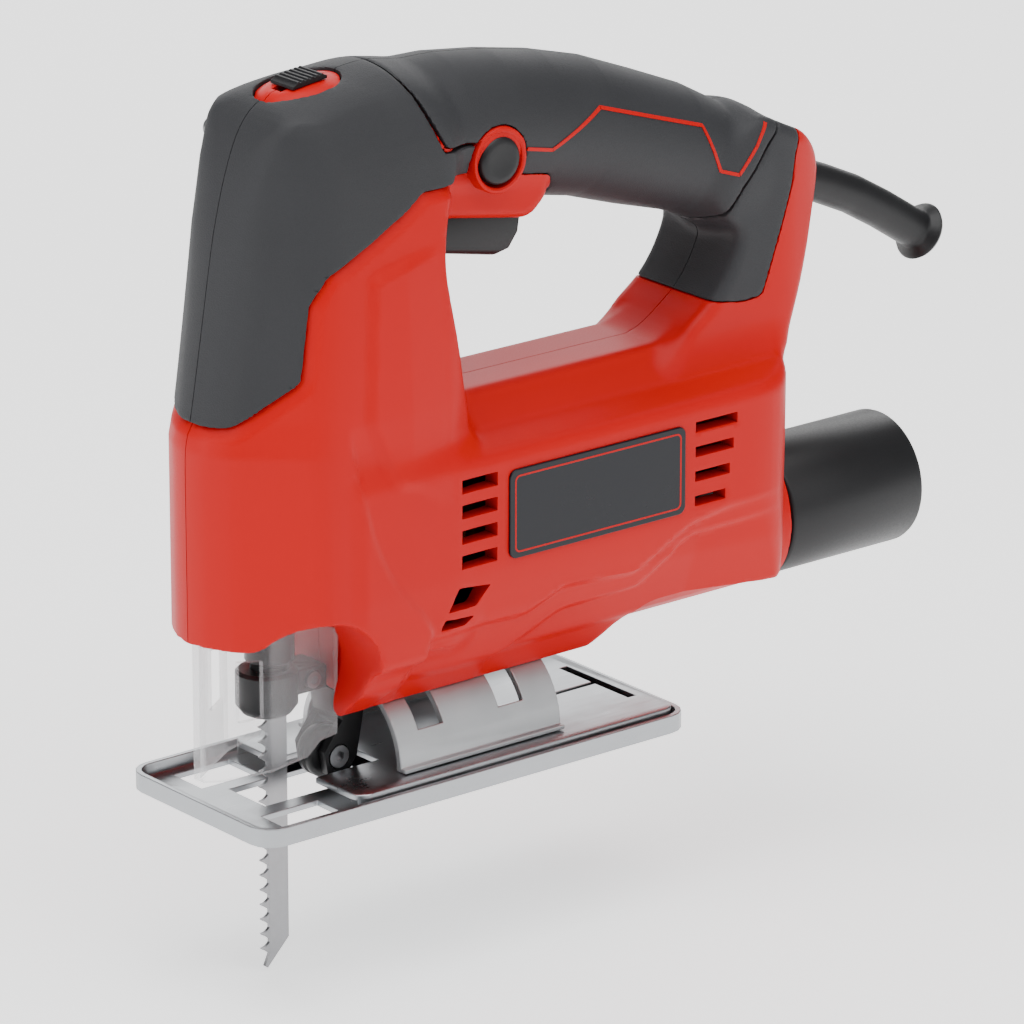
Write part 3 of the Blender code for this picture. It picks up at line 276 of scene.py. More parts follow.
class Outline:
    """A closed outline with softened corners, whose signed distance is read from a fine grid."""

    STEP = 0.35
    MARGIN = 16.0

    def __init__(self, corners, reach):
        outline = softened(corners, reach)
        self.low = np.min(outline, axis=0) - self.MARGIN
        high = np.max(outline, axis=0) + self.MARGIN
        u, v = (np.arange(a, b, self.STEP) for a, b in zip(self.low, high))
        self.values = polygon_distance(u[:, None], v[None, :], outline)

    def __call__(self, u, v):
        place_u = np.clip((u - self.low[0]) / self.STEP, 0, self.values.shape[0] - 1.01)
        place_v = np.clip((v - self.low[1]) / self.STEP, 0, self.values.shape[1] - 1.01)
        column, row = place_u.astype(int), place_v.astype(int)
        share_u, share_v = place_u - column, place_v - row
        near = self.values[column, row] * (1 - share_v) + self.values[column, row + 1] * share_v
        far = self.values[column + 1, row] * (1 - share_v) + self.values[column + 1, row + 1] * share_v
        return near * (1 - share_u) + far * share_u


nose_side = Outline(NOSE_SIDE, 9.0)
nose_plan = Outline(NOSE_PLAN, 3.5)
nose_top = Outline(NOSE_TOP, 14.0)
body_side = Outline(BODY_SIDE, 3.0)
body_section = Outline(BODY_SECTION, 1.6)
body_plan = Outline(BODY_PLAN, 6.0)
pillar_side = Outline(PILLAR_SIDE, 5.0)
pillar_plan = Outline(PILLAR_PLAN, 4.0)
trigger_box_side = Outline(TRIGGER_BOX_SIDE, 3.0)
grip_sides = {name: Outline(corners, 1.5) for name, corners in GRIP_SIDES.items()}
raised_panel = Outline(PANEL_SIDE, 2.0)
swept_cheek = Outline(CHEEK_SIDE, 9.0)
belly_step = Outline(BELLY_SIDE, 2.5)
keel_step = Outline(KEEL_SIDE, 2.5)
slanted_vents = [Outline(corners, 0.8) for corners in SLANTED_VENTS]


def nose_lean(z):
    """How far the nose's front has moved back at height z."""
    return np.interp(z, LEAN_HEIGHTS, NOSE_LEAN)


def nose_distance(x, y, z):
    side = nose_side(x, z)
    plan = nose_plan(x - nose_lean(z) * np.clip(1 - (x + 27.5) / 70.0, 0, 1), y)
    top = nose_top(y, z)
    return meeting(meeting(side, plan, 2.0), top, 6.0)


def body_distance(x, y, z):
    side = body_side(x, z)
    section = body_section(y, z)
    plan = body_plan(x, y)
    return meeting(meeting(side, section, 1.5), plan, 3.0)


def pillar_distance(x, y, z):
    side = pillar_side(x, z)
    plan = pillar_plan(x, y)
    return meeting(meeting(side, plan, 3.5), y - PILLAR_HALF, 4.0)


def handle_distance(x, y, z):
    """A tube along the handle's line, whose radius runs smoothly from point to point."""
    line_x, line_z = np.array(HANDLE_LINE).T
    slope = (line_z[-1] - line_z[0]) / (line_x[-1] - line_x[0])
    along = np.clip(x + (z - np.interp(x, line_x, line_z)) * slope * 0.8, line_x[0], line_x[-1])
    across = np.hypot(x - along, z - np.interp(along, line_x, line_z))
    return np.sqrt(across**2 + y**2) - np.interp(along, line_x, HANDLE_RADII)


def trigger_box_distance(x, y, z):
    side = trigger_box_side(x, z)
    return meeting(side, y - TRIGGER_BOX_HALF, 2.5)


def bay_distance(x, y, z):
    """The blade's bay under the nose, open below and to both sides."""
    centre_x, centre_z, radius = ARCH
    arch = np.hypot(x - centre_x, z - centre_z) - radius
    floor = np.maximum(x - 9.5, z - centre_z - 1.1)
    front = np.maximum(x - centre_x + 1.3, z - 47.0)
    hole = blended(blended(arch, floor, 2.0), front, 2.0)
    bay_front, bay_rear = CLAMP_BAY_X
    clamp = np.maximum(np.maximum(x - bay_rear, bay_front - x), y - CLAMP_BAY_HALF)
    clamp = np.maximum(clamp, z - CLAMP_BAY_TOP)
    return np.minimum(hole, clamp)


def seat_distance(x, y, z):
    """The round hollow under the saw that the tilt bracket turns in."""
    return np.maximum(np.hypot(y, z - TILT_Z) - SEAT_RADIUS, x - SEAT_END)


def outer_distance(x, y, z):
    """The closed outside of the saw, y being the distance from the middle plane."""
    form = blended(nose_distance(x, y, z), body_distance(x, y, z), 5.0)
    upper = blended(handle_distance(x, y, z), trigger_box_distance(x, y, z), 2.0)
    upper = blended(upper, pillar_distance(x, y, z), 5.0)
    form = blended(form, upper, 5.0)
    pipe = np.maximum(np.hypot(y, z - PIPE_Z) - PIPE_RADIUS, np.maximum(PIPE_START - x, x - PIPE_END))
    form = blended(form, pipe, 3.0)
    form = without(form, bay_distance(x, y, z), 1.0)
    return without(form, seat_distance(x, y, z), 0.6)


def slope_between(distance, width):
    """1 inside an outline and 0 outside it, with a chamfer of the given width on its inner side."""
    return np.clip(-distance / width, 0.0, 1.0)


def relief(x, y, z):
    """How far the side faces lie under the plain form, from the steps and panels moulded into them."""
    cheek = swept_cheek(x, z)
    behind = np.clip(cheek / 2.0, 0.0, 1.0) * np.exp(-np.maximum(cheek, 0.0) / 13.0)
    depth = 1.8 * behind * np.clip((104.0 - z) / 8.0, 0.0, 1.0)
    rear = np.clip((148.0 - x) / 30.0, 0.0, 1.0)
    belly = 1.4 * slope_between(belly_step(x, z), 1.8)
    keel = 1.2 * slope_between(keel_step(x, z), 1.6)
    depth = depth + rear * (belly + keel)
    panel = slope_between(raised_panel(x, z), 2.6) * np.clip((34.0 - x) / 12.0, 0.0, 1.0)
    depth = depth - 1.7 * panel
    return depth * np.clip((y - 13.0) / 4.0, 0.0, 1.0)


def formed_distance(x, y, z):
    """The outside with its side relief."""
    return outer_distance(x, y, z) + relief(x, y, z)


def island_distance(x, y, z):
    """The red island round the blower's slider, seen from above."""
    oval = (np.hypot((x - SLIDER_MIDDLE) / ISLAND_RADII[0], y / ISLAND_RADII[1]) - 1.0) * 10.0
    return np.maximum(oval, 160.0 - z)


def grip_region(name, x, y, z):
    """A grip's outline seen from the side, less the slider's island and the lock button's collar."""
    region = grip_sides[name](x, z)
    if name == "nose":
        region = without(region, island_distance(x, y, z), 0.5)
    return np.maximum(region, COLLAR_RADIUS + 0.5 - np.hypot(x - BUTTON_PLACE[0], z - BUTTON_PLACE[1]))


def vents_distance(x, y, z):
    """All of the cooling slots, as holes through the side wall."""
    found = 1e9
    for row in range(VENT_ROWS):
        level = z - (VENT_TOP - VENT_PITCH * row)
        front = np.maximum(np.abs(x - 42.7) - 5.7, np.abs(level) - 1.8)
        rear = np.maximum(np.abs(x - 120.4 + 0.6 * row) - 7.0 + 0.6 * row, np.abs(level + 0.2) - 1.4)
        found = np.minimum(found, np.minimum(front, rear))
    for vent in slanted_vents:
        found = np.minimum(found, vent(x, z))
    return np.maximum(found, 16.0 - y)


def wall_distance(x, y, z, sizes):
    """One half of the housing: a hollow wall with seats for the grips and a chamfer under the nose grip."""
    outside = formed_distance(x, y, z)
    hollow = outside + sizes.wall / MM
    outside = outside + 1.5 * np.clip(1.0 - grip_region("nose", x, y, z) / 3.0, 0.0, 1.0)
    bore = np.maximum(np.hypot(y, z - PIPE_Z) - SPIGOT_BORE, 136.0 - x)
    slot = np.maximum(np.maximum(np.abs(x - SLIDER_MIDDLE) - 6.5, y - 2.0), 176.0 - z)
    mouth = np.maximum(np.hypot(y, z - 134.0 + (x - 163.0) * 0.33) - 5.8, 150.0 - x)
    along, across, up = TRIGGER_WELL_HALVES
    trigger_well = np.maximum(np.abs(x - TRIGGER_MIDDLE[0]) - along, y - across)
    trigger_well = np.maximum(trigger_well, np.abs(z - TRIGGER_MIDDLE[1]) - up)
    wall = np.maximum(outside, -hollow)
    for hole in (bore, slot, mouth, trigger_well, vents_distance(x, y, z)):
        wall = without(wall, hole, 0.35)
    skin = sizes.grip_skin / MM + sizes.seam / MM
    for name in GRIP_SIDES:
        seat = np.maximum(grip_region(name, x, y, z) - sizes.seam / MM, -(outside + skin))
        wall = without(wall, seat, 0.3)
    return wall


def grip_distance(name, x, y, z, sizes):
    """A grip as a skin of even thickness on the outside."""
    outside = formed_distance(x, y, z)
    skin = np.maximum(outside, -(outside + sizes.grip_skin / MM))
    return meeting(skin, grip_region(name, x, y, z), 0.7)


# --- From a distance to a mesh ---------------------------------------------------------------------------

CUBE = [(i, j, k) for i in (0, 1) for j in (0, 1) for k in (0, 1)]

# The columns of a cell's facts: sums over the cut edges round it.
SQUARES = [0, 1, 2, 1, 3, 4, 2, 4, 5]
LEVELS = slice(6, 9)
PLACES = slice(9, 12)
COUNT = slice(12, 13)
FACTS = 13


def corner_block(values, corner, shape):
    """The value at one corner of every cell."""
    return values[tuple(slice(c, c + n) for c, n in zip(corner, shape))]


def slope_at(distance, points):
    """The unit slope of a distance at each point."""
    reach = 0.04
    slope = np.zeros_like(points)
    for axis in range(3):
        step = np.zeros(3)
        step[axis] = reach
        slope[:, axis] = distance(*(points + step).T) - distance(*(points - step).T)
    return slope / np.maximum(np.linalg.norm(slope, axis=1), 1e-9)[:, None]


def cut_edges(values, axis, leaving):
    """The grid edges along an axis that the surface leaves or enters, by the index of their start."""
    first = np.take(values, range(values.shape[axis] - 1), axis) < 0
    second = np.take(values, range(1, values.shape[axis]), axis) < 0
    cut = (first & ~second) if leaving else (~first & second)
    inner = [slice(1, -1)] * 3
    inner[axis] = slice(None)
    kept = np.zeros(cut.shape, bool)
    kept[tuple(inner)] = cut[tuple(inner)]
    return np.argwhere(kept)


def edge_points(distance, values, axes, starts, axis, cell):
    """Where the surface cuts each edge."""
    ends = starts.copy()
    ends[:, axis] += 1
    first, second = values[tuple(starts.T)], values[tuple(ends.T)]
    points = np.stack([axes[i][starts[:, i]] for i in range(3)], 1)
    share = first / (first - second)
    points[:, axis] += share * cell
    found = distance(*points.T)
    same = (found < 0) == (first < 0)
    other = np.where(same, second, first)
    span = np.where(same, 1 - share, -share)
    points[:, axis] += span * cell * np.clip(found / np.where(found == other, 1.0, found - other), 0, 1)
    return points


def facts_of(points, slopes):
    """For each cut edge, what its cells need to find the point that lies on all of their surface's planes."""
    x, y, z = slopes.T
    level = (points * slopes).sum(1)
    squares = np.stack([x * x, x * y, x * z, y * y, y * z, z * z], 1)
    return np.concatenate([squares, slopes * level[:, None], points, np.ones((len(points), 1))], 1)


def settled(facts, lowest, cell):
    """The point of each cell that best fits the planes at its cut edges, kept inside the cell."""
    pull = 0.04
    mean = facts[:, PLACES] / facts[:, COUNT]
    matrix = facts[:, SQUARES].reshape(-1, 3, 3) + pull * np.eye(3)
    offset = facts[:, LEVELS] + pull * mean - (matrix @ mean[:, :, None])[:, :, 0]
    points = mean + np.linalg.solve(matrix, offset[:, :, None])[:, :, 0]
    return np.clip(points, lowest, lowest + cell)


def skinned(distance, low, high, cell):
    """Points and quads of the surface of a distance on (x, y, z), whose y starts at the middle plane."""
    middle_gap = 0.12
    axes = [np.arange(a - 2 * cell, b + 3 * cell, cell) for a, b in zip(low, high)]
    axes[1] = np.arange(middle_gap - 1.6 * cell, high[1] + 3 * cell, cell)
    x, y, z = np.ix_(*axes)

    def halved(x, y, z):
        return np.maximum(distance(x, y, z), middle_gap - y)

    values = np.broadcast_to(halved(x, y, z), [len(a) for a in axes])
    below = values < 0
    shape = tuple(n - 1 for n in values.shape)
    count = sum(corner_block(below, corner, shape).astype(np.int8) for corner in CUBE)
    crossed = (count > 0) & (count < 8)
    numbers = np.full(shape, -1)
    numbers[crossed] = np.arange(crossed.sum())
    facts = np.zeros((crossed.sum(), FACTS))
    quads = []
    for axis in range(3):
        across, along = (axis + 1) % 3, (axis + 2) % 3
        for leaving in (True, False):
            starts = cut_edges(values, axis, leaving)
            points = edge_points(halved, values, axes, starts, axis, cell)
            rows = facts_of(points, slope_at(halved, points))
            around = []
            for step_across, step_along in ((-1, -1), (0, -1), (0, 0), (-1, 0)):
                place = starts.copy()
                place[:, across] += step_across
                place[:, along] += step_along
                around.append(numbers[tuple(place.T)])
                for column in range(FACTS):
                    facts[:, column] += np.bincount(around[-1], rows[:, column], len(facts))
            quads.append(np.stack(around if leaving else around[::-1], 1))
    lowest = np.stack([axes[i][np.argwhere(crossed)[:, i]] for i in range(3)], 1)
    return settled(facts, lowest, cell), np.concatenate(quads)


def mesh_from(name, points, faces):
    """A mesh in metres in the frame's axes, from points in millimetres from the blade's line."""
    mesh = bpy.data.meshes.new(name)
    placed = np.asarray(points, float) * MM + (BLADE_LINE, 0.0, 0.0)
    mesh.from_pydata(placed.tolist(), [], [list(map(int, face)) for face in faces])
    mesh.validate()
    mesh.update()
    return mesh


def piece(name, mesh, body, slot, nodes=(), smooth=40.0):
    """Makes mesh a finished piece that rides on a body and stands for CAD nodes."""
    obj = bpy.data.objects.new(name, mesh)
    bpy.context.scene.collection.objects.link(obj)
    mesh.materials.clear()
    mesh.materials.append(FINISHES[slot])
    mesh.shade_smooth()
    mesh.set_sharp_from_angle(angle=math.radians(smooth))
    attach(obj, body)
    if nodes:
        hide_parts(*nodes)
    return obj


def screw_wells(x, y, z):
    """The wells that the screw heads sit in, on the right side only."""
    wells = 1e9
    for place_x, place_z, head in SCREW_PLACES:
        wells = np.minimum(wells, np.maximum(np.hypot(x - place_x, z - place_z) - WELL_RADIUS, head - y))
    return wells


def moulded(name, distance, box, cell, body, slot, node):
    """The left and the right of a form, as two pieces; the right one has the screws' wells."""
    def drilled(x, y, z):
        return without(distance(x, y, z), screw_wells(x, y, z), 0.3)

    points, quads = skinned(drilled, *box, cell)
    piece(f"{name}_right", mesh_from(name, points, quads), body, slot, [f"{node}_right"], 31.0)
    points, quads = skinned(distance, *box, cell)
    mirrored = mesh_from(name, points * (1, -1, 1), quads[:, ::-1])
    piece(f"{name}_left", mirrored, body, slot, [f"{node}_left"], 31.0)


# --- Solids from rings and outlines ----------------------------------------------------------------------


def ring(centre, right, up, radius, steps):
    turns = [2 * math.pi * step / steps for step in range(steps)]
    return [Vector(centre) + (Vector(right) * math.cos(t) + Vector(up) * math.sin(t)) * radius for t in turns]


def stacked(rings):
    """Points and faces of rings joined in order, the last to the first."""
    steps, count = len(rings[0]), len(rings)
    faces = [
        (i * steps + j, i * steps + (j + 1) % steps, (i + 1) % count * steps + (j + 1) % steps,
         (i + 1) % count * steps + j)
        for i in range(count) for j in range(steps)
    ]
    return [point for r in rings for point in r], faces


def turned(profile, centre, axis="X", steps=96):
    """A closed profile of (radius, along) turned about the axis through centre."""
    right, up, along = {
        "X": ((0, 1, 0), (0, 0, 1), Vector((1, 0, 0))),
        "Y": ((0, 0, 1), (1, 0, 0), Vector((0, 1, 0))),
        "Z": ((1, 0, 0), (0, 1, 0), Vector((0, 0, 1))),
    }[axis]
    centre = Vector(centre)
    return stacked([ring(centre + along * place, right, up, radius, steps) for radius, place in profile])


def prism(outline, low, high):
    """An outline of (x, z) stretched across the saw from y = low to y = high."""
    count = len(outline)
    points = [(x, low, z) for x, z in outline] + [(x, high, z) for x, z in outline]
    sides = [(i, (i + 1) % count, (i + 1) % count + count, i + count) for i in range(count)]
    return points, [tuple(range(count))[::-1], tuple(range(count, 2 * count)), *sides]


def rounded_rectangle(x_range, z_range, radius):
    steps = 6
    centres = [(x_range[1], z_range[1]), (x_range[0], z_range[1]), (x_range[0], z_range[0]),
               (x_range[1], z_range[0])]
    middle_x, middle_z = sum(x_range) / 2, sum(z_range) / 2
    outline = []
    for quarter, (x, z) in enumerate(centres):
        x -= math.copysign(radius, x - middle_x)
        z -= math.copysign(radius, z - middle_z)
        for step in range(steps + 1):
            turn = math.pi / 2 * (quarter + step / steps)
            outline.append((x + radius * math.cos(turn), z + radius * math.sin(turn)))
    return outline


def closed_mesh(name, *solids):
    """One mesh of some solids, with doubled points merged and every face turned outwards."""
    mesh = bpy.data.meshes.new(name)
    form = bmesh.new()
    for points, faces in solids:
        verts = [form.verts.new(Vector(point) * MM + Vector((BLADE_LINE, 0, 0))) for point in points]
        for face in faces:
            form.faces.new([verts[index] for index in face])
    bmesh.ops.remove_doubles(form, verts=form.verts, dist=1e-7)
    bmesh.ops.dissolve_degenerate(form, edges=form.edges, dist=1e-8)
    bmesh.ops.recalc_face_normals(form, faces=form.faces)
    form.to_mesh(mesh)
    form.free()
    return mesh


def edged(obj, width, angle=32.0):
    """Rounds the piece's edges."""
    bevel = obj.modifiers.new("edge", "BEVEL")
    bevel.width = width * MM
    bevel.segments = 2
    bevel.limit_method = "ANGLE"
    bevel.angle_limit = math.radians(angle)
    bevel.harden_normals = True
    return obj


def refined(name, node, slot, width, angle=32.0):
    """A copy of a CAD node with its flat faces merged and its edges rounded."""
    mesh = frame["nodes"][node].data.copy()
    form = bmesh.new()
    form.from_mesh(mesh)
    bmesh.ops.remove_doubles(form, verts=form.verts, dist=2e-6)
    bmesh.ops.dissolve_limit(form, angle_limit=math.radians(2.0), verts=form.verts, edges=form.edges)
    form.to_mesh(mesh)
    form.free()
    return edged(piece(name, mesh, frame["nodes"][node]["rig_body"], slot, [node]), width, angle)


# --- Finishes --------------------------------------------------------------------------------------------


class Value:
    """A number in a material that varies over the surface; arithmetic on it adds Math nodes."""

    def __init__(self, finish, socket):
        self.finish = finish
        self.socket = socket

    def _math(self, operation, first, second):
        return self.finish.node("ShaderNodeMath", {"operation": operation}, {0: first, 1: second})

    def __add__(self, other):
        return self._math("ADD", self, other)

    def __radd__(self, other):
        return self._math("ADD", other, self)

    def __mul__(self, other):
        return self._math("MULTIPLY", self, other)

    def __rmul__(self, other):
        return self._math("MULTIPLY", other, self)


class Finish:
    """A material being built, with one method for every node it takes."""

    def __init__(self, name, **constants):
        self.material = bpy.data.materials.new(name)
        self.material.use_nodes = True
        self.tree = self.material.node_tree
        self.shader = self.tree.nodes["Principled BSDF"]
        for socket, value in constants.items():
            self.shader.inputs[socket.replace("_", " ")].default_value = value
        self.place = self.node("ShaderNodeTexCoord", {}, {}, "Object")

    def node(self, kind, settings, values, output=0):
        node = self.tree.nodes.new(kind)
        for name, value in settings.items():
            setattr(node, name, value)
        for name, value in values.items():
            if isinstance(value, Value):
                self.tree.links.new(value.socket, node.inputs[name])
            else:
                node.inputs[name].default_value = value
        return Value(self, node.outputs[output])

    def feed(self, socket, value):
        self.tree.links.new(value.socket, self.shader.inputs[socket])

    def noise(self, scale, detail=2.0, stretch=(1.0, 1.0, 1.0)):
        place = self.place
        if stretch != (1.0, 1.0, 1.0):
            place = self.node("ShaderNodeMapping", {}, {"Vector": self.place, "Scale": stretch})
        return self.node("ShaderNodeTexNoise", {}, {"Vector": place, "Scale": scale, "Detail": detail})

    def grain(self, scale):
        sockets = {"Vector": self.place, "Scale": scale, "Randomness": 1.0}
        return self.node("ShaderNodeTexVoronoi", {}, sockets)

    def mixed(self, share, first, second):
        """A colour between two colours."""
        return self.node("ShaderNodeMix", {"data_type": "RGBA"}, {0: share, 6: first, 7: second}, 2)

    def ranged(self, value, low, high, to_low, to_high):
        return self.node(
            "ShaderNodeMapRange", {},
            {"Value": value, "From Min": low, "From Max": high, "To Min": to_low, "To Max": to_high})

    def bump(self, height, strength, distance):
        normal = self.node(
            "ShaderNodeBump", {}, {"Height": height, "Strength": strength, "Distance": distance}, "Normal")
        self.feed("Normal", normal)


FINISHES = {}


def shade(colour, factor):
    return tuple(min(1.0, channel * factor) for channel in tuple(colour)[:3]) + (1.0,)


def red_plastic(colours):
    finish = Finish("red_plastic", Specular_IOR_Level=0.16)
    drift = finish.noise(18.0, 3.0)
    finish.feed("Base Color", finish.mixed(drift, shade(colours.red, 0.93), shade(colours.red, 1.05)))
    fine = finish.noise(2400.0, 2.0)
    finish.feed("Roughness", finish.ranged(fine + drift * 0.5, 0.4, 1.1, 0.36, 0.50))
    finish.bump(fine, 0.10, 0.00012)
    return finish.material


def soft_grip(colours):
    finish = Finish("soft_grip", Specular_IOR_Level=0.30)
    drift = finish.noise(25.0, 4.0)
    finish.feed("Base Color", finish.mixed(drift, shade(colours.grip, 0.82), shade(colours.grip, 1.25)))
    fine = finish.grain(2600.0)
    finish.feed("Roughness", finish.ranged(fine * 0.4 + drift, 0.3, 1.0, 0.50, 0.66))
    finish.bump(fine, 0.35, 0.00012)
    return finish.material


def dark_plastic(name, colour, rough_low, rough_high, grain_scale):
    finish = Finish(name, Specular_IOR_Level=0.30)
    drift = finish.noise(40.0, 3.0)
    finish.feed("Base Color", finish.mixed(drift, shade(colour, 0.85), shade(colour, 1.2)))
    fine = finish.noise(grain_scale, 2.0)
    finish.feed("Roughness", finish.ranged(fine + drift * 0.5, 0.4, 1.1, rough_low, rough_high))
    finish.bump(fine, 0.08, 0.0001)
    return finish.material


def metal(name, colour, rough_low, rough_high, stretch, scale=90.0):
    finish = Finish(name, Metallic=1.0)
    cloud = finish.noise(scale, 4.0)
    brushed = finish.noise(1400.0, 2.0, stretch)
    finish.feed("Base Color", finish.mixed(cloud, shade(colour, 0.86), shade(colour, 1.1)))
    finish.feed("Roughness", finish.ranged(brushed * 0.5 + cloud, 0.4, 1.1, rough_low, rough_high))
    finish.bump(brushed, 0.10, 0.00005)
    return finish.material


def clear_plastic():
    finish = Finish("clear_plastic", Base_Color=(0.80, 0.80, 0.82, 1.0), Specular_IOR_Level=0.6)
    # Painted reflection: alpha rises towards glancing angles, so the light grey base shows as whitish edges
    # on the guard. The haze noise is the plastic's own faint haze.
    edge = finish.node("ShaderNodeLayerWeight", {}, {"Blend": 0.35}, "Facing")
    haze = finish.noise(220.0, 3.0)
    finish.feed("Alpha", finish.ranged(edge + haze * 0.08, 0.08, 1.0, 0.025, 0.62))
    finish.feed("Roughness", finish.ranged(haze, 0.35, 0.75, 0.04, 0.14))
    return finish.material


def copper_winding():
    finish = Finish("copper", Metallic=0.85)
    turns = finish.node(
        "ShaderNodeTexWave", {"wave_type": "BANDS", "bands_direction": "DIAGONAL"},
        {"Vector": finish.place, "Scale": 900.0, "Distortion": 1.5})
    finish.feed("Base Color", finish.mixed(turns, (0.42, 0.13, 0.05, 1.0), (0.72, 0.30, 0.14, 1.0)))
    finish.feed("Roughness", finish.ranged(turns, 0.0, 1.0, 0.5, 0.3))
    finish.bump(turns, 0.6, 0.0003)
    return finish.material


def make_finishes(colours):
    along = (0.06, 1.0, 1.0)
    upright = (1.0, 1.0, 0.06)
    FINISHES.update({
        "red_plastic": red_plastic(colours),
        "soft_grip": soft_grip(colours),
        "black_plastic": dark_plastic("black_plastic", (0.0085, 0.0085, 0.0095), 0.34, 0.50, 1800.0),
        "plate_black": dark_plastic("plate_black", (0.0022, 0.0028, 0.0060), 0.26, 0.36, 900.0),
        "carbon": dark_plastic("carbon", (0.03, 0.03, 0.03), 0.5, 0.7, 1500.0),
        "black_steel": dark_plastic("black_steel", (0.010, 0.010, 0.011), 0.28, 0.44, 700.0),
        "zinc_sheet": metal("zinc_sheet", colours.zinc, 0.24, 0.42, along),
        "steel": metal("steel", (0.30, 0.30, 0.31), 0.26, 0.42, upright, 300.0),
        "aluminium": metal("aluminium", (0.46, 0.47, 0.48), 0.36, 0.52, along),
        "brass": metal("brass", (0.72, 0.52, 0.22), 0.25, 0.4, along),
        "copper": copper_winding(),
        "clear_plastic": clear_plastic(),
    })


# --- Operators -------------------------------------------------------------------------------------------


class FinishFrame(bpy.types.Operator):
    """Makes every finish and puts it on the CAD nodes that stay"""

    bl_idname = "jigsaw.finish_frame"
    bl_label = "Finishes"

    def execute(self, context):
        make_finishes(context.scene.saw_colours)
        for name, node in frame["nodes"].items():
            slot = node.data.materials[0].name.split(".")[0] if node.data.materials else ""
            if slot not in FINISHES:
                raise RuntimeError(f"{name} has no known finish: {slot!r}")
            node.data.materials[0] = FINISHES[slot]
        return {"FINISHED"}


class MouldHousing(bpy.types.Operator):
    """Moulds the two halves of the red housing"""

    bl_idname = "jigsaw.mould_housing"
    bl_label = "Housing"

    def execute(self, context):
        sizes = context.scene.saw_sizes
        box = ((-28.0, 0.0, 20.0), (172.0, 30.0, 189.0))
        moulded("shell", lambda x, y, z: wall_distance(x, y, z, sizes), box, sizes.shell_cell / MM, "saw",
                "red_plastic", "housing")
        return {"FINISHED"}


class MouldGrips(bpy.types.Operator):
    """Moulds the soft grips on the nose, the handle and the rear pillar"""

    bl_idname = "jigsaw.mould_grips"
    bl_label = "Soft grips"

    def execute(self, context):
        sizes = context.scene.saw_sizes
        boxes = {
            "nose": ((-28.0, 0.0, 100.0), (52.0, 30.0, 189.0)),
            "handle": ((26.0, 0.0, 114.0), (160.0, 22.0, 189.0)),
            "rear": ((98.0, 0.0, 105.0), (166.0, 26.0, 162.0)),
        }
        for grip, box in boxes.items():
            moulded(f"{grip}_skin", lambda x, y, z: grip_distance(grip, x, y, z, sizes), box,
                    sizes.grip_cell / MM, "saw", "soft_grip", f"{grip}_grip")
        return {"FINISHED"}


def surface_between(form, low, high):
    """Where form, a distance along one line, changes sign between low, inside it, and high, outside it."""
    for _ in range(18):
        middle = (low + high) / 2
        if form(middle) < 0:
            low = middle
        else:
            high = middle
    return low


def half_width_at(x, z):
    """How far the outside lies from the middle plane at (x, z)."""
    return surface_between(lambda y: formed_distance(*np.array([[x], [y], [z]]))[0], 0.0, 32.0)


def height_at(x):
    """How high the saw's top lies over the sole at x, in the middle plane."""
    return surface_between(lambda z: formed_distance(*np.array([[x], [0.0], [z]]))[0], 165.0, 195.0)


PALM_LINE = (
    (66.5, 161.6), (74.8, 159.8), (91.7, 167.5), (126.9, 156.1), (131.9, 143.4), (137.4, 141.6),
    (143.8, 148.0), (147.5, 153.5),
)


class LayPalmLine(bpy.types.Operator):
    """Lays the thin red line that frames the palm on both sides of the handle"""

    bl_idname = "jigsaw.lay_palm_line"
    bl_label = "Palm line"

    def execute(self, context):
        half_breadth, rise = 0.55, 0.22
        for name, side in (("left", -1), ("right", 1)):
            rings = []
            for start, end in zip(PALM_LINE, PALM_LINE[1:]):
                run = Vector(end) - Vector(start)
                across = Vector((-run.y, run.x)).normalized() * half_breadth
                steps = max(2, round(run.length / 1.2))
                for step in range(steps):
                    middle = Vector(start) + run * (step / (steps - 1))
                    edges = []
                    for share, lift in ((-1.0, -1.2), (-0.8, rise), (0.8, rise), (1.0, -1.2)):
                        spot = middle + across * share
                        edges.append(Vector((spot.x, side * (half_width_at(spot.x, spot.y) + lift), spot.y)))
                    rings.append(edges)
            points, faces = stacked(rings)
            last = len(faces) - 4
            faces = faces[:last] + [(3, 2, 1, 0), tuple(range(len(points) - 4, len(points)))]
            piece(f"palm_line_{name}", closed_mesh("palm_line", (points, faces)), "saw", "red_plastic")
        return {"FINISHED"}


SLIDER_ENDS = (4.2, 14.8)
SLIDER_HALF = 4.6
SLIDER_GAP = 0.15
SLIDER_EDGE = 0.9
RIB_COUNT = 6
RIB_START = 5.4
RIB_PITCH = 1.45
# Each corner of a rib: how far along it lies, where its level is taken from, and how far it stands over that.
RIB_FORM = ((0.0, 0.0, 1.3), (0.3, 0.0, 1.75), (0.8, 0.8, 1.75), (1.1, 1.1, 1.3))


def slider_outline():
    """The side of the blower's slider: a low block that follows the nose's top, with ribs for the thumb."""
    front, rear = SLIDER_ENDS
    outline = [(rear, height_at(rear) + SLIDER_GAP)]
    outline += [(front, height_at(front) + lift) for lift in (SLIDER_GAP, SLIDER_EDGE)]
    for rib in range(RIB_COUNT):
        start = RIB_START + RIB_PITCH * rib
        for along, level_at, lift in RIB_FORM:
            outline.append((start + along, height_at(start + level_at) + lift))
    return [*outline, (rear, height_at(rear) + SLIDER_EDGE)]


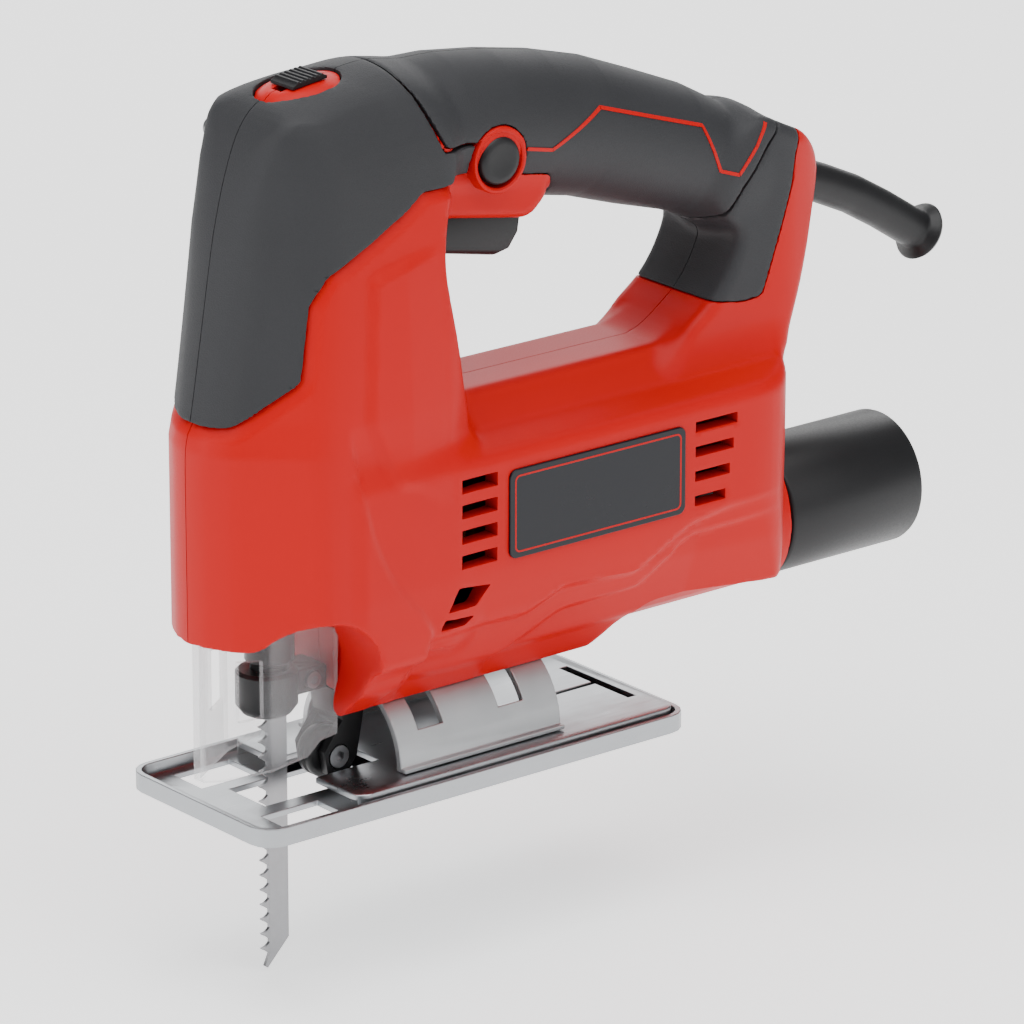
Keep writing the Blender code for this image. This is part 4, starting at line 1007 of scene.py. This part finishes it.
class MakeControls(bpy.types.Operator):
    """Makes the lock button with its rings, the trigger and the blower's slider"""

    bl_idname = "jigsaw.make_controls"
    bl_label = "Controls"

    def execute(self, context):
        x, z = BUTTON_PLACE
        surface = half_width_at(x, z)
        collar = ((COLLAR_RADIUS, 13.0), (COLLAR_RADIUS, 18.6), (8.2, 19.1), (7.6, 19.2), (7.1, 18.9),
                  (6.9, 18.2), (6.9, 13.0))
        for name, side in (("left", -1), ("right", 1)):
            profile = [(radius, side * (along + surface - 18.2)) for radius, along in collar]
            piece(f"button_collar_{name}", closed_mesh("collar", turned(profile, (x, 0, z), "Y")), "saw",
                  "red_plastic")
        cap = ((0.0, -11.0), (6.2, -11.0), (6.2, -18.6), (5.9, -19.3), (5.2, -19.7), (4.2, -19.75),
               (3.0, -19.6), (0.0, -19.5))
        piece("lock_cap", closed_mesh("lock_cap", turned(cap, (x, 0, z), "Y")), "lock_button",
              "black_plastic", ["lock_button"])
        plug = ((0.0, 13.0), (6.6, 13.0), (6.6, surface - 0.4), (6.1, surface - 0.1), (0.0, surface - 0.1))
        piece("blind_cap", closed_mesh("blind_cap", turned(plug, (x, 0, z), "Y")), "saw", "red_plastic")
        refined("trigger_lever", "trigger", "black_plastic", 0.9)
        knob = closed_mesh("slider_knob", prism(slider_outline(), -SLIDER_HALF, SLIDER_HALF))
        edged(piece("slider_knob", knob, "blower_slider", "black_plastic", ["blower_slider"]), 0.15)
        return {"FINISHED"}


PLATE_X = (52.0, 109.6)
PLATE_Z = (59.5, 83.0)
PLATE_Y = (28.9, 29.8)
BORDER_Y = (29.5, 29.84)
BORDER_INSETS = (1.5, 1.95)


def frame_band(outer, inner, low, high):
    """A flat band between two outlines of the same number of points."""
    rings = [[Vector((x, y, z)) for x, z in outline] for y, outline in
             ((low, outer), (high, outer), (high, inner), (low, inner))]
    return stacked(rings)


def plate_outline(inset, radius):
    """The side plate's outline, moved inwards by inset."""
    spans = [(low + inset, high - inset) for low, high in (PLATE_X, PLATE_Z)]
    return rounded_rectangle(*spans, radius)


class MakePlates(bpy.types.Operator):
    """Makes the blank dark side plates with their thin red border"""

    bl_idname = "jigsaw.make_plates"
    bl_label = "Side plates"

    def execute(self, context):
        for name, side in (("left", -1), ("right", 1)):
            solid = prism(plate_outline(0.0, 2.2), *(side * y for y in PLATE_Y))
            plate = piece(f"side_plate_{name}", closed_mesh("plate", solid), "saw", "plate_black",
                          [f"name_plate_{name}"])
            edged(plate, 0.25)
            outer, inner = plate_outline(BORDER_INSETS[0], 1.6), plate_outline(BORDER_INSETS[1], 1.2)
            band = closed_mesh("band", frame_band(outer, inner, *(side * y for y in BORDER_Y)))
            piece(f"plate_border_{name}", band, "saw", "red_plastic")
        return {"FINISHED"}


class Rule:
    """A Geometry Nodes tree being built, whose named sizes are its inputs."""

    def __init__(self, name):
        self.tree = bpy.data.node_groups.new(name, "GeometryNodeTree")
        self.tree.interface.new_socket("Geometry", in_out="OUTPUT", socket_type="NodeSocketGeometry")
        self.sizes = {}
        self.start = self.tree.nodes.new("NodeGroupInput")
        self.end = self.tree.nodes.new("NodeGroupOutput")

    def size(self, name, kind, value):
        socket = self.tree.interface.new_socket(name, in_out="INPUT", socket_type=kind)
        self.sizes[socket.identifier] = value
        return self.start.outputs[name]

    def node(self, kind, values, output=0):
        node = self.tree.nodes.new(kind)
        for name, value in values.items():
            sockets = value if isinstance(value, list) else [value]
            for socket in sockets:
                if isinstance(socket, bpy.types.NodeSocket):
                    self.tree.links.new(socket, node.inputs[name])
                else:
                    node.inputs[name].default_value = socket
        return node.outputs[output]

    def mesh(self, geometry, name, slot):
        """The tree's result, realised and with its finish, as a plain mesh."""
        real = self.node("GeometryNodeRealizeInstances", {"Geometry": geometry})
        done = self.node("GeometryNodeSetMaterial", {"Geometry": real, "Material": FINISHES[slot]})
        self.tree.links.new(done, self.end.inputs[0])
        carrier = bpy.data.objects.new(name, bpy.data.meshes.new(name))
        bpy.context.scene.collection.objects.link(carrier)
        modifier = carrier.modifiers.new("rule", "NODES")
        modifier.node_group = self.tree
        for identifier, value in self.sizes.items():
            modifier[identifier] = value
        graph = bpy.context.evaluated_depsgraph_get()
        mesh = bpy.data.meshes.new_from_object(carrier.evaluated_get(graph))
        bpy.data.objects.remove(carrier)
        return mesh


def helper(name, mesh):
    """An object that only lends its mesh to a rule."""
    obj = bpy.data.objects.new(name, mesh)
    bpy.context.scene.collection.objects.link(obj)
    return obj


def local_mesh(name, *solids):
    """A mesh in metres about its own origin, for a rule to repeat."""
    mesh = closed_mesh(name, *solids)
    mesh.transform(Matrix.Translation((-BLADE_LINE, 0, 0)))
    return mesh


SCREW_RADIUS = 3.1
SCREW_HEIGHT = 2.2
SOCKET_RADIUS = 1.3


def screw_head(radius, height, driver):
    """A domed screw head with a round socket that opens towards +y."""
    return turned(
        ((0.0, 0.0), (radius, 0.0), (radius, height * 0.55), (radius * 0.86, height * 0.9),
         (radius * 0.6, height), (driver, height), (driver, height * 0.35), (0.0, height * 0.35)),
        (0, 0, 0), "Y", 24)


class FitScrews(bpy.types.Operator):
    """Fits the housing's screws from one head repeated by a rule"""

    bl_idname = "jigsaw.fit_screws"
    bl_label = "Screws"

    def execute(self, context):
        places = bpy.data.meshes.new("screw_places")
        places.from_pydata([(x * MM + BLADE_LINE, head * MM, z * MM) for x, z, head in SCREW_PLACES], [], [])
        spots = helper("screw_places", places)
        solid = screw_head(SCREW_RADIUS, SCREW_HEIGHT, SOCKET_RADIUS)
        head = helper("screw_head", local_mesh("screw_head", solid))
        rule = Rule("screws_at_places")
        size = rule.size("Size", "NodeSocketFloat", 1.0)
        at = rule.node("GeometryNodeObjectInfo", {"Object": spots}, "Geometry")
        form = rule.node("GeometryNodeObjectInfo", {"Object": head}, "Geometry")
        points = rule.node("GeometryNodeMeshToPoints", {"Mesh": at})
        heads = rule.node("GeometryNodeInstanceOnPoints", {"Points": points, "Instance": form, "Scale": size})
        mesh = rule.mesh(heads, "screw_heads", "steel")
        for used in (spots, head):
            bpy.data.objects.remove(used)
        nodes = [f"housing_screw_{number}" for number in range(1, len(SCREW_PLACES) + 1)]
        piece("screw_heads", mesh, "saw", "steel", nodes)
        return {"FINISHED"}


BLADE_BACK = 3.2
BLADE_FRONT = -2.9
BLADE_TIP = -46.0
BLADE_TOP = 33.0
BLADE_HALF = 0.5
TOOTH_COUNT = 16
TOOTH_DEPTH = 2.4
TOOTH_HALF = 0.46
# Each corner of a tooth: how far out as a share of its depth, and how far up as a share of the pitch.
TOOTH_FORM = (
    (-1 / 6, -0.05), (1 / 12, 0.05), (7 / 12, 0.30), (1.0, 0.44), (1.0, 0.52), (0.5, 0.57), (0.125, 0.72),
    (-1 / 6, 0.95),
)


class CutBlade(bpy.types.Operator):
    """Cuts the blade: a ground strip with hooked teeth repeated by a rule"""

    bl_idname = "jigsaw.cut_blade"
    bl_label = "Blade"

    def execute(self, context):
        pitch = context.scene.saw_sizes.tooth_pitch / MM
        strip = [(BLADE_BACK, BLADE_TOP), (BLADE_BACK, BLADE_TIP + 7.0), (-3.6, BLADE_TIP),
                 (-4.4, BLADE_TIP + 0.6), (BLADE_FRONT, BLADE_TIP + 4.0), (BLADE_FRONT, BLADE_TOP)]
        tooth = [(-out * TOOTH_DEPTH, share * pitch) for out, share in TOOTH_FORM]
        blank = helper("blade_blank", closed_mesh("blade_blank", prism(strip, -BLADE_HALF, BLADE_HALF)))
        wedge = helper("tooth_form", local_mesh("tooth_form", prism(tooth, -TOOTH_HALF, TOOTH_HALF)))
        rule = Rule("teeth_along_blade")
        count = rule.size("Count", "NodeSocketInt", TOOTH_COUNT)
        lowest = (BLADE_FRONT * MM + BLADE_LINE, 0.0, (BLADE_TIP + 3.6) * MM)
        first = rule.size("First", "NodeSocketVector", lowest)
        spacing = rule.size("Pitch", "NodeSocketVector", (0.0, 0.0, pitch * MM))
        line = rule.node("GeometryNodeMeshLine", {"Count": count, "Start Location": first, "Offset": spacing})
        form = rule.node("GeometryNodeObjectInfo", {"Object": wedge}, "Geometry")
        body = rule.node("GeometryNodeObjectInfo", {"Object": blank}, "Geometry")
        teeth = rule.node("GeometryNodeInstanceOnPoints", {"Points": line, "Instance": form})
        joined = rule.node("GeometryNodeJoinGeometry", {"Geometry": [teeth, body]})
        mesh = rule.mesh(joined, "saw_blade", "steel")
        for used in (blank, wedge):
            bpy.data.objects.remove(used)
        piece("saw_blade", mesh, "plunger", "steel", ["blade"], 25.0)
        return {"FINISHED"}


ROLLER_PLACE = (15.4, 0.0, 8.6)
ROLLER_HALF_PROFILE = ((6.3, 0.5), (6.9, 0.9), (6.9, 2.2), (6.5, 2.8), (5.6, 3.2), (1.9, 3.2))


class DressMetal(bpy.types.Operator):
    """Rounds the edges of the sole, the tilt bracket, the clamp and the arm, and turns the roller"""

    bl_idname = "jigsaw.dress_metal"
    bl_label = "Metalwork"

    def execute(self, context):
        refined("sole_pressing", "sole_plate", "zinc_sheet", 0.6)
        refined("deck_pressing", "sole_deck", "zinc_sheet", 0.6)
        refined("bracket_pressing", "tilt_bracket", "aluminium", 0.35, 45.0)
        refined("clamp_strip", "tilt_clamp_plate", "steel", 0.4)
        refined("arm_casting", "guide_arm", "black_steel", 0.5)
        refined("clamp_block", "blade_clamp", "black_steel", 0.6, 40.0)
        wheel = [(radius, -along) for radius, along in ROLLER_HALF_PROFILE[::-1]] + [*ROLLER_HALF_PROFILE]
        piece("roller_wheel", closed_mesh("roller_wheel", turned(wheel, ROLLER_PLACE, "Y")), "guide_roller",
              "black_steel", ["guide_roller"])
        return {"FINISHED"}


SLEEVE_START = 157.3
SLEEVE_END = 202.8
BOOT_LINE = (
    (163.0, 134.0), (171.0, 131.4), (180.0, 127.8), (190.8, 122.9), (201.4, 116.8), (210.5, 111.0),
    (216.5, 107.4),
)
BOOT_STEPS = 72
BOOT_SIDES = 48
LIP_START = 0.955


class FitRearEnds(bpy.types.Operator):
    """Turns the dust pipe and sweeps the cable's boot"""

    bl_idname = "jigsaw.fit_rear_ends"
    bl_label = "Dust pipe and boot"

    def execute(self, context):
        start, end = SLEEVE_START, SLEEVE_END
        profile = ((14.6, start + 1.5), (16.1, start + 4.0), (16.1, end - 0.5), (16.5, end - 0.1),
                   (17.1, end), (17.7, end - 0.3), (18.0, end - 1.1), (18.0, start + 1.0),
                   (17.8, start + 0.4), (17.3, start), (15.2, start), (15.2, start - 18.0),
                   (13.6, start - 18.0), (13.6, start))
        piece("dust_pipe", closed_mesh("dust_pipe", turned(profile, (0, 0, PIPE_Z))), "dust_adapter",
              "black_plastic", ["dust_adapter"])
        xs, zs = np.array(BOOT_LINE).T
        reach = np.concatenate([[0.0], np.cumsum(np.hypot(np.diff(xs), np.diff(zs)))])
        stops = np.linspace(0.0, reach[-1], BOOT_STEPS)
        line = list(zip(np.interp(stops, reach, xs), np.interp(stops, reach, zs)))
        outer, inner = [], []
        for index, (x, z) in enumerate(line):
            before, after = line[max(index - 4, 0)], line[min(index + 4, len(line) - 1)]
            ahead = Vector((after[0] - before[0], after[1] - before[1])).normalized()
            share = stops[index] / reach[-1]
            lip = max(0.0, (share - LIP_START) / (1 - LIP_START))
            radius = 5.3 + 0.7 * max(0.0, 1 - share * 9) + 2.6 * math.sin(min(1.0, lip * 1.6) * math.pi / 2)
            if index == len(line) - 1:
                radius -= 0.5
            up = (-ahead.y, 0, ahead.x)
            outer.append(ring((x, 0, z), (0, 1, 0), up, radius, BOOT_SIDES))
            bore = 3.6 + 1.6 * max(0.0, share - 0.9) * 10
            inner.append(ring((x, 0, z), (0, 1, 0), up, bore, BOOT_SIDES))
        piece("boot_sleeve", closed_mesh("boot_sleeve", stacked(outer + inner[::-1])), "saw", "black_plastic",
              ["cable_boot"])
        return {"FINISHED"}


AIM = Vector((0.0174, -0.0194, 0.0676))
LIGHT_DISTANCE = 1.6
FLOOR_HALF = 8.0
WHITE = (1.0, 1.0, 1.0, 1.0)


def soft_box(name, azimuth, elevation, size, power):
    """An area light that faces the saw; its azimuth and elevation are in degrees."""
    azimuth, elevation = math.radians(azimuth), math.radians(elevation)
    light = bpy.data.lights.new(name, "AREA")
    light.shape = "RECTANGLE"
    light.size, light.size_y = size
    light.energy = power
    lamp = bpy.data.objects.new(name, light)
    out = Vector((math.sin(azimuth) * math.cos(elevation), -math.cos(azimuth) * math.cos(elevation),
                  math.sin(elevation)))
    lamp.location = AIM + out * LIGHT_DISTANCE
    lamp.rotation_euler = out.to_track_quat("Z", "Y").to_euler()
    bpy.context.scene.collection.objects.link(lamp)


class SetStage(bpy.types.Operator):
    """Sets the pale floor, the soft studio light and the camera"""

    bl_idname = "jigsaw.set_stage"
    bl_label = "Stage"

    def execute(self, context):
        stage = context.scene.saw_stage
        floor = bpy.data.objects.new("floor", bpy.data.meshes.new("floor"))
        floor.data.from_pydata(
            [(x * FLOOR_HALF, y * FLOOR_HALF, FLOOR_Z) for x, y in ((-1, -1), (1, -1), (1, 1), (-1, 1))],
            [], [(0, 1, 2, 3)])
        paper = Finish("stage_paper", Roughness=0.9, Emission_Color=WHITE, Emission_Strength=0.85)
        paper.feed("Base Color", paper.mixed(paper.noise(3.0), shade(WHITE, 0.86), shade(WHITE, 0.90)))
        floor.data.materials.append(paper.material)
        context.scene.collection.objects.link(floor)

        world = bpy.data.worlds.new("studio")
        world.use_nodes = True
        background = world.node_tree.nodes["Background"].inputs
        background["Color"].default_value = WHITE
        background["Strength"].default_value = 0.20
        context.scene.world = world

        side = stage.softness
        soft_box("front_light", -105, 18, (side * 0.6, side), 10.0)
        soft_box("side_light", 18, 28, (side, side), 8.5)
        soft_box("back_light", 145, 24, (side * 1.4, side * 0.8), 14.0)
        soft_box("top_light", -40, 80, (side * 1.5, side * 1.5), 46.0)

        camera = bpy.data.objects.new("camera", bpy.data.cameras.new("camera"))
        camera.data.lens = stage.lens
        camera.data.sensor_width = 36.0
        camera.data.clip_end = 50.0
        turn = Matrix.Rotation(stage.azimuth, 4, "Z") @ Matrix.Rotation(math.pi / 2 - stage.elevation, 4, "X")
        back = Matrix.Translation((0.0, 0.0, stage.distance))
        camera.matrix_world = Matrix.Translation(AIM) @ turn @ back
        context.scene.collection.objects.link(camera)
        context.scene.camera = camera
        return {"FINISHED"}


class JigsawPanel(bpy.types.Panel):
    """Lists the pieces of the jigsaw"""

    bl_idname = "VIEW3D_PT_jigsaw"
    bl_label = "Jigsaw"
    bl_space_type = "VIEW_3D"
    bl_region_type = "UI"
    bl_category = "Jigsaw"

    def draw(self, context):
        for operator in OPERATORS:
            self.layout.operator(operator.bl_idname)


OPERATORS = (
    FinishFrame, MouldHousing, MouldGrips, LayPalmLine, MakeControls, MakePlates, FitScrews, CutBlade,
    DressMetal, FitRearEnds, SetStage,
)
CLASSES = (SawSizes, SawColours, StageSettings, *OPERATORS, JigsawPanel)


def register():
    for cls in CLASSES:
        bpy.utils.register_class(cls)
    bpy.types.Scene.saw_sizes = bpy.props.PointerProperty(type=SawSizes)
    bpy.types.Scene.saw_colours = bpy.props.PointerProperty(type=SawColours)
    bpy.types.Scene.saw_stage = bpy.props.PointerProperty(type=StageSettings)


def unregister():
    del bpy.types.Scene.saw_stage
    del bpy.types.Scene.saw_colours
    del bpy.types.Scene.saw_sizes
    for cls in reversed(CLASSES):
        bpy.utils.unregister_class(cls)


def main():
    register()
    for operator in OPERATORS:
        group, name = operator.bl_idname.split(".")
        getattr(getattr(bpy.ops, group), name)()


if __name__ == "__main__":
    main()
